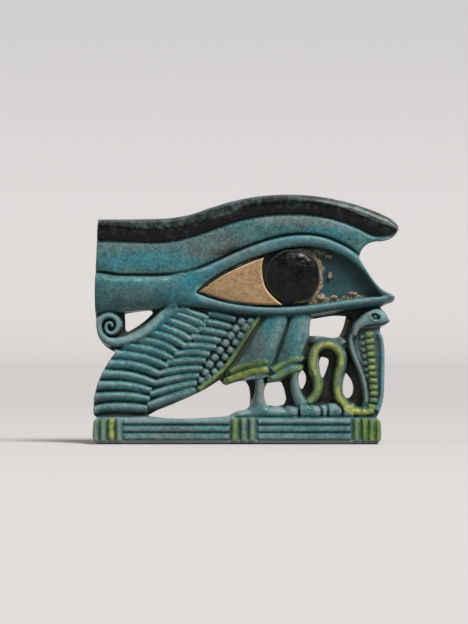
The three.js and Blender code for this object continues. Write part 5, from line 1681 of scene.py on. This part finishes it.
@dataclass
class Plaque:
    """The fired body, with all its forms in relief, pierced by seven openings."""

    low: Point = (-34.9, -0.9)
    high: Point = (34.9, 56.4)
    pitch: float = 0.165
    depth_step: float = 0.27
    web: float = 3.0
    rounding: float = 0.42
    bore_pixel: float = 256.5
    bore_depth: float = 2.1
    bore_width: float = 1.6
    most_faces: int = 188000
    swells: tuple[Point, ...] = ((0.05, 6.0), (0.03, 2.2), (0.014, 0.8))
    spreads: tuple[float, ...] = (0.16, 0.35, 0.45, 0.85)
    hollow: Point = (0.03, 0.52)
    broad_crest: Point = (0.05, 0.32)
    sharp_crest: Point = (0.03, 0.14)
    foot_highlight_heights: Point = (1.0, 0.5)
    recess: Point = (4.0, 3.4)
    painted_from: Point = (1.2, 2.6)
    edge_waver: tuple[float, float, int] = (0.03, 1.6, 4)
    eye: EyeBlock = field(default_factory=EyeBlock)
    wing: Wing = field(default_factory=Wing)
    coil: Coil = field(default_factory=Coil)
    legs: FalconLegs = field(default_factory=FalconLegs)
    cobra: Cobra = field(default_factory=Cobra)
    bar: ReedBar = field(default_factory=ReedBar)

    def model(self) -> tuple[Relief, Array]:
        """The plaque's relief with its masks, and each place's distance to its outline."""
        relief = Relief(self.low, self.high, self.pitch, self.web)
        for part in (self.coil, self.wing, self.legs, self.cobra, self.bar, self.eye):
            part.shape(relief)
        self.eye.sink_cell(relief)
        relief.height += sum(strength * relief.noise(size, seed)
                             for seed, (strength, size) in enumerate(self.swells, start=1))
        out = relief.near(outline(SILHOUETTE), closed=True)[0]
        for opening in OPENINGS:
            part, gap = relief.within(outline(opening), 4)
            out[part] = np.maximum(out[part], -gap)
        strength, size, seed = self.edge_waver
        out += strength * relief.noise(size, seed)
        self.weather_and_paint_light(relief)
        return relief, out

    def weather_and_paint_light(self, relief: Relief) -> None:
        """Finds the hollows, crests and recesses, paints highlights, shadows and shade, and finds where the
        glaze is bluer or greyer.
        """
        masks, z = relief.masks, relief.places()[1]
        sharp, fine, middle, wide = (soften(relief.height, spread / self.pitch) for spread in self.spreads)
        # Hollows take painted shade with dirt; crests are worn pale and take painted highlights.
        hollow = np.clip((wide - sharp - self.hollow[0]) / self.hollow[1], 0, 1)
        masks[Paint.HOLLOW] = hollow * (1 - 0.85 * masks[Paint.SANDY])
        crest = np.maximum((fine - wide - self.broad_crest[0]) / self.broad_crest[1],
                           (sharp - middle - self.sharp_crest[0]) / self.sharp_crest[1])
        masks[Paint.CREST] = np.clip(crest, 0, 1)
        # Painted light on the foot's chamfer.
        foot = step_between(*self.foot_highlight_heights, z)
        relief.mark(Paint.CREST, EVERYWHERE, 0.9 * foot)
        reeds = foot + 0.45 * step_between(self.bar.height + 0.3, self.bar.height - 0.3, z)
        masks[Paint.HOLLOW] *= 1 - np.minimum(reeds, 1)
        # The sunken web takes painted shadow mixed with earth.
        masks[Paint.RECESS] = step_between(*self.recess, sharp)
        for pixels, width, share in GLOSSY_LINES:
            part, touch = relief.stroke(pixels, width)
            masks[Paint.CREST][part] *= 1 - share * touch
            relief.mark(Paint.BLUE, part, 1.3 * touch)
        # Painted highlights, and painted shadows.
        for paint, strokes in ((Paint.CREST, PAINTED_HIGHLIGHT_LINES), (Paint.DIM, PAINTED_SHADOW_LINES)):
            for pixels, width, strength in strokes:
                part, touch = relief.stroke(pixels, width)
                relief.mark(paint, part, strength * touch)
        for paint, patches in ((Paint.BLUE, BLUE_PATCHES), (Paint.GREY, GREY_PATCHES),
                               (Paint.SHADE, SHADE_PATCHES)):
            for at, half, strength in patches:
                relief.mark(paint, EVERYWHERE, strength * np.exp(-relief.off_spot(at, half)))

    def build(self, finish: bpy.types.Material) -> bpy.types.Object:
        """The plaque, meshed, masked and dressed."""
        relief, out = self.model()
        bore = (spot((MIDDLE_PIXEL, self.bore_pixel))[1], self.bore_depth, self.bore_width / 2)
        corners, faces = body_of_relief(relief, out, 0.0, self.rounding, self.depth_step, bore)
        piece = make_object("plaque", corners, faces, self.most_faces)
        x, z, depth = corners_of(piece)
        front = step_between(*self.painted_from, depth)
        for paint, values in relief.masks.items():
            store(piece, paint.value, relief.read(values, x, z) * front)
        piece.data.materials.append(finish)
        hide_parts("faience_plaque")
        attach(piece, "root")
        return piece


def iris_distance(relief: Relief) -> Array:
    """Each place's distance to the iris's outline, below zero inside, in millimetres."""
    half = in_mm(IRIS_HALF)
    x, z = ((axis - middle) / size for axis, middle, size in zip(relief.places(), spot(IRIS_CENTRE), half))
    turn = np.arctan2(z, x)
    wobble = sum((size * np.sin(count * turn + start) for size, count, start in IRIS_WOBBLE), 1.0)
    return (squarish(x, z, IRIS_SQUARENESS) * wobble - 1) * min(half)


def cell_distance(relief: Relief) -> Array:
    """Each place's distance to the outline of the eye's cell, below zero inside."""
    return relief.near(outline(EYE_OPENING), closed=True)[0]


def white_distance(relief: Relief) -> Array:
    """Each place's distance to the right edge of the white, below zero to the left of it."""
    return relief.near(np.vstack([curve(WHITE_RIGHT), place(WHITE_LEFT)]), closed=True)[0]


@dataclass
class Inlay:
    """A stone or bed of mortar set in the eye's cell, modelled as its own small relief."""

    node: str
    slot: str
    rounding: float = 0.2
    roughness: float = 0.02
    pitch: float = 0.14
    margin: float = 0.8

    def edge(self, relief: Relief) -> Array:
        """Each place's distance to the inlay's outline, below zero inside."""
        raise NotImplementedError

    def top(self, relief: Relief, out: Array) -> None:
        """Shapes the inlay's front."""
        relief.height += (self.roughness * (relief.noise(1.9, 11) - 1)
                          + 0.5 * self.roughness * relief.noise(0.6, 12))

    def pale_edge(self, relief: Relief, out: Array) -> Array:
        """Where the inlay's edge is paler, from 0 to 1."""
        return step_between(-0.5, -0.12, out)

    def build(self, finish: bpy.types.Material) -> bpy.types.Object:
        """The piece, meshed and dressed, between the back and the front of its CAD node."""
        low, high = (np.array(corner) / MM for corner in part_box(self.node))
        relief = Relief(low[[0, 2]] - self.margin, high[[0, 2]] + self.margin, self.pitch, BACK_Y - low[1])
        out = self.edge(relief)
        self.top(relief, out)
        corners, faces = body_of_relief(relief, out, BACK_Y - high[1], self.rounding, self.pitch)
        piece = make_object(self.node + "_piece", corners, faces)
        store(piece, "crest", relief.read(self.pale_edge(relief, out), *corners_of(piece)[:2]))
        piece.data.materials.append(finish)
        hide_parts(self.node)
        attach(piece, "root")
        return piece


@dataclass
class WhiteInlay(Inlay):
    """The white of the eye, or its bed: what lies left of the iris in the eye's opening."""

    gap: float = 0.2
    upper_gap: float = 0.42
    bevel: float = 0.3
    upper_from: float = 287
    pale_from: float = 285

    def edge(self, relief: Relief) -> Array:
        """Each place's distance to the stone's outline, below zero inside."""
        above = relief.places()[1] - spot((MIDDLE_PIXEL, self.upper_from))[1]
        gap = self.gap + (self.upper_gap - self.gap) * step_between(-0.3, 0.3, above)
        return np.maximum(np.maximum(cell_distance(relief) + gap, white_distance(relief)),
                          self.gap - iris_distance(relief))

    def pale_edge(self, relief: Relief, out: Array) -> Array:
        """A painted highlight: the edge beside the iris is the palest, and the top edge a little."""
        right = np.minimum(relief.near(curve(WHITE_RIGHT))[0], np.abs(iris_distance(relief) - self.gap))
        above = relief.places()[1] > spot((MIDDLE_PIXEL, self.pale_from))[1]
        return np.maximum(step_between(0.42, 0.26, right), 0.75 * above * step_between(-0.34, -0.12, out))

    def top(self, relief: Relief, out: Array) -> None:
        """A flat face with a bevelled edge."""
        super().top(relief, out)
        relief.height -= np.clip(self.bevel + out * 0.8, 0, self.bevel)


@dataclass
class IrisInlay(Inlay):
    """The iris: a low dome of glass."""

    dome: float = 2.0

    def edge(self, relief: Relief) -> Array:
        """Each place's distance to the iris's outline, below zero inside."""
        return iris_distance(relief)

    def top(self, relief: Relief, out: Array) -> None:
        """A rounded, slightly uneven dome."""
        super().top(relief, out)
        across = np.clip(1 - out / float(out.min()), 0, 1)
        relief.height -= self.dome * (1 - crown(across, 2.6))
        relief.height += 0.10 * (relief.noise(2.6, 21) - 1) + 0.05 * relief.noise(1.1, 22)


@dataclass
class IrisBed(Inlay):
    """The iris's bed of mortar, ragged at its right edge and kept inside the cell."""

    spread: float = 0.85
    left_gap: float = 0.3

    def edge(self, relief: Relief) -> Array:
        """Each place's distance to the bed's outline, below zero inside."""
        left = step_between(0.6, -0.6, relief.places()[0] - spot(IRIS_CENTRE)[0])
        ragged = iris_distance(relief) - self.spread * (1 - left) + self.left_gap * left
        ragged = ragged + (0.2 + 0.25 * relief.noise(1.2, 31) + 0.15 * relief.noise(0.5, 32)) * (1 - left)
        return np.maximum(np.maximum(ragged, cell_distance(relief) + 0.12), 0.15 - white_distance(relief))


@dataclass
class MortarCrumb:
    """A crumb of old mortar: a cluster of grains fused together, modelled round the CAD crumb's box."""

    node: str
    seed: int
    grains: int = 26
    grain_places: Point = (0.1, 0.72)
    grain_sizes: Point = (0.35, 0.62)
    margin: float = 0.3
    pitch: float = 0.09

    def build(self, finish: bpy.types.Material) -> bpy.types.Object:
        """The crumb, meshed and dressed."""
        low, high = (np.array(corner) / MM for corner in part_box(self.node))
        middle, half = (low + high) / 2, (high - low) / 2
        rng = np.random.default_rng(self.seed)
        axes = [np.arange(low[k] - self.margin, high[k] + self.margin, self.pitch) for k in (0, 2, 1)]
        x, z, y = np.meshgrid(*axes, indexing="ij")
        total = np.zeros(x.shape)
        for _ in range(self.grains):
            way = rng.normal(size=3)
            at = middle + way / np.linalg.norm(way) * half * rng.uniform(*self.grain_places)
            size = float(half.min()) * rng.uniform(*self.grain_sizes)
            total += np.exp(-((x - at[0]) ** 2 + (y - at[1]) ** 2 + (z - at[2]) ** 2) / size ** 2)
        box = np.maximum.reduce([np.abs(axis - middle[k]) - half[k] for k, axis in enumerate((x, y, z))])
        values = np.maximum((0.62 - total) * 0.6, box)
        corners, faces = skin(values[:, :, ::-1], np.array([axes[0][0], axes[1][0], -axes[2][-1]]),
                              np.full(3, self.pitch))
        corners = np.stack([corners[:, 0], -corners[:, 2], corners[:, 1]], axis=1) * MM
        piece = make_object(self.node + "_piece", corners, faces)
        piece.data.materials.append(finish)
        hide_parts(self.node)
        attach(piece, "root")
        return piece


@dataclass
class Studio:
    """Seamless paper, soft lamps and the camera of the photograph."""

    distance: float = 1.0
    scale_plane: float = 0.002
    sensor_width: float = 36.0
    clip: Point = (0.05, 20.0)
    axis_pixel: Point = (234, 312)
    picture_width: float = PHOTO_WIDTH * MM_PER_PIXEL_ACROSS * MM
    sweep_width: float = 5.0
    sweep_front: float = -2.5
    sweep_back: float = 1.5
    sweep_radius: float = 0.54
    sweep_steps: int = 24
    sweep_height: float = 2.2
    sky_tone: Colour = (1.0, 0.99, 0.98)
    sky_strength: float = 0.26

    def lay_paper(self, finish: bpy.types.Material) -> None:
        """The floor and the wall behind, joined by a curve."""
        bend = np.linspace(0, math.pi / 2, self.sweep_steps)
        y = np.r_[self.sweep_front, self.sweep_back + self.sweep_radius * np.sin(bend),
                  self.sweep_back + self.sweep_radius]
        z = np.r_[0, self.sweep_radius * (1 - np.cos(bend)), self.sweep_height]
        count = len(y)
        half = self.sweep_width / 2
        corners = np.array([(x, depth, height) for x in (-half, half) for depth, height in zip(y, z)])
        faces = np.array([(k, k + count, k + 1 + count, k + 1) for k in range(count - 1)])
        paper = make_object("paper", corners, faces)
        paper.data.materials.append(finish)

    @staticmethod
    def hang_lamp(name: str, turned: float, raised: float, spread: float, strength: float) -> None:
        """Hangs a far, soft lamp that lights everything evenly.

        Args:
            name: the lamp's name.
            turned: how far right of the camera it hangs, in degrees.
            raised: how high above the horizon, in degrees.
            spread: how wide it looks, in degrees.
            strength: its irradiance, where pi lights a facing white surface as white.
        """
        lamp = bpy.data.lights.new(name, "SUN")
        lamp.angle = math.radians(spread)
        lamp.energy = strength
        holder = bpy.data.objects.new(name, lamp)
        a, b = math.radians(turned), math.radians(raised)
        towards = Vector((math.sin(a) * math.cos(b), -math.cos(a) * math.cos(b), math.sin(b)))
        holder.rotation_euler = towards.to_track_quat("Z", "Y").to_euler()
        holder.location = towards
        bpy.context.scene.collection.objects.link(holder)

    def light(self) -> None:
        """A key lamp high on the right, a weak one on the left, and an even sky."""
        self.hang_lamp("key", turned=32.0, raised=50.0, spread=24.0, strength=3.0)
        self.hang_lamp("fill", turned=-50.0, raised=18.0, spread=40.0, strength=0.2)
        world = bpy.data.worlds.new("studio")
        world.use_nodes = True
        sky = world.node_tree.nodes["Background"].inputs
        sky["Color"].default_value = (*self.sky_tone, 1.0)
        sky["Strength"].default_value = self.sky_strength
        bpy.context.scene.world = world

    def set_camera(self) -> None:
        """The camera looks straight at the front, as in the photograph."""
        x, z = spot(self.axis_pixel) * MM
        lens = bpy.data.cameras.new("camera")
        lens.sensor_fit = "HORIZONTAL"
        lens.sensor_width = self.sensor_width
        lens.lens = lens.sensor_width * self.distance / self.picture_width
        lens.clip_start, lens.clip_end = self.clip
        camera = bpy.data.objects.new("camera", lens)
        camera.location = (x, -self.distance - self.scale_plane, z)
        camera.rotation_euler = (math.pi / 2, 0, 0)
        bpy.context.scene.collection.objects.link(camera)
        bpy.context.scene.camera = camera

    def build(self, finish: bpy.types.Material) -> None:
        """Everything round the amulet."""
        self.lay_paper(finish)
        self.light()
        self.set_camera()
        bpy.context.scene.view_settings.view_transform = "Standard"


def main() -> None:
    """Builds every piece and the studio."""
    logging.basicConfig(level=logging.INFO, format="%(message)s")
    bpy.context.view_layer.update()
    effects = Effects()
    faience, white, dark, mortar, paper = (finish.build(effects) for finish in (
        Faience(), Aragonite(), Obsidian(), LimeMortar(), Paper()))
    made = [
        Plaque().build(faience),
        WhiteInlay("white_inlay", "white_stone").build(white),
        IrisInlay("iris_inlay", "dark_stone", rounding=0.3).build(dark),
        WhiteInlay("white_inlay_bed", "mortar", roughness=0.04, gap=0.3).build(mortar),
        IrisBed("iris_bed", "mortar", roughness=0.05).build(mortar),
    ]
    made += [MortarCrumb(node, seed).build(mortar) for seed, node in enumerate((
        "mortar_crumb_by_iris", "mortar_crumb_lower_lid", "mortar_crumb_canthus", "mortar_crumb_upper_lid",
        "mortar_crumb_with_pit"), start=41)]
    for piece in made:
        log.info("%s: %d faces", piece.name, len(piece.data.polygons))
    Studio().build(paper)


if __name__ == "__main__":
    main()
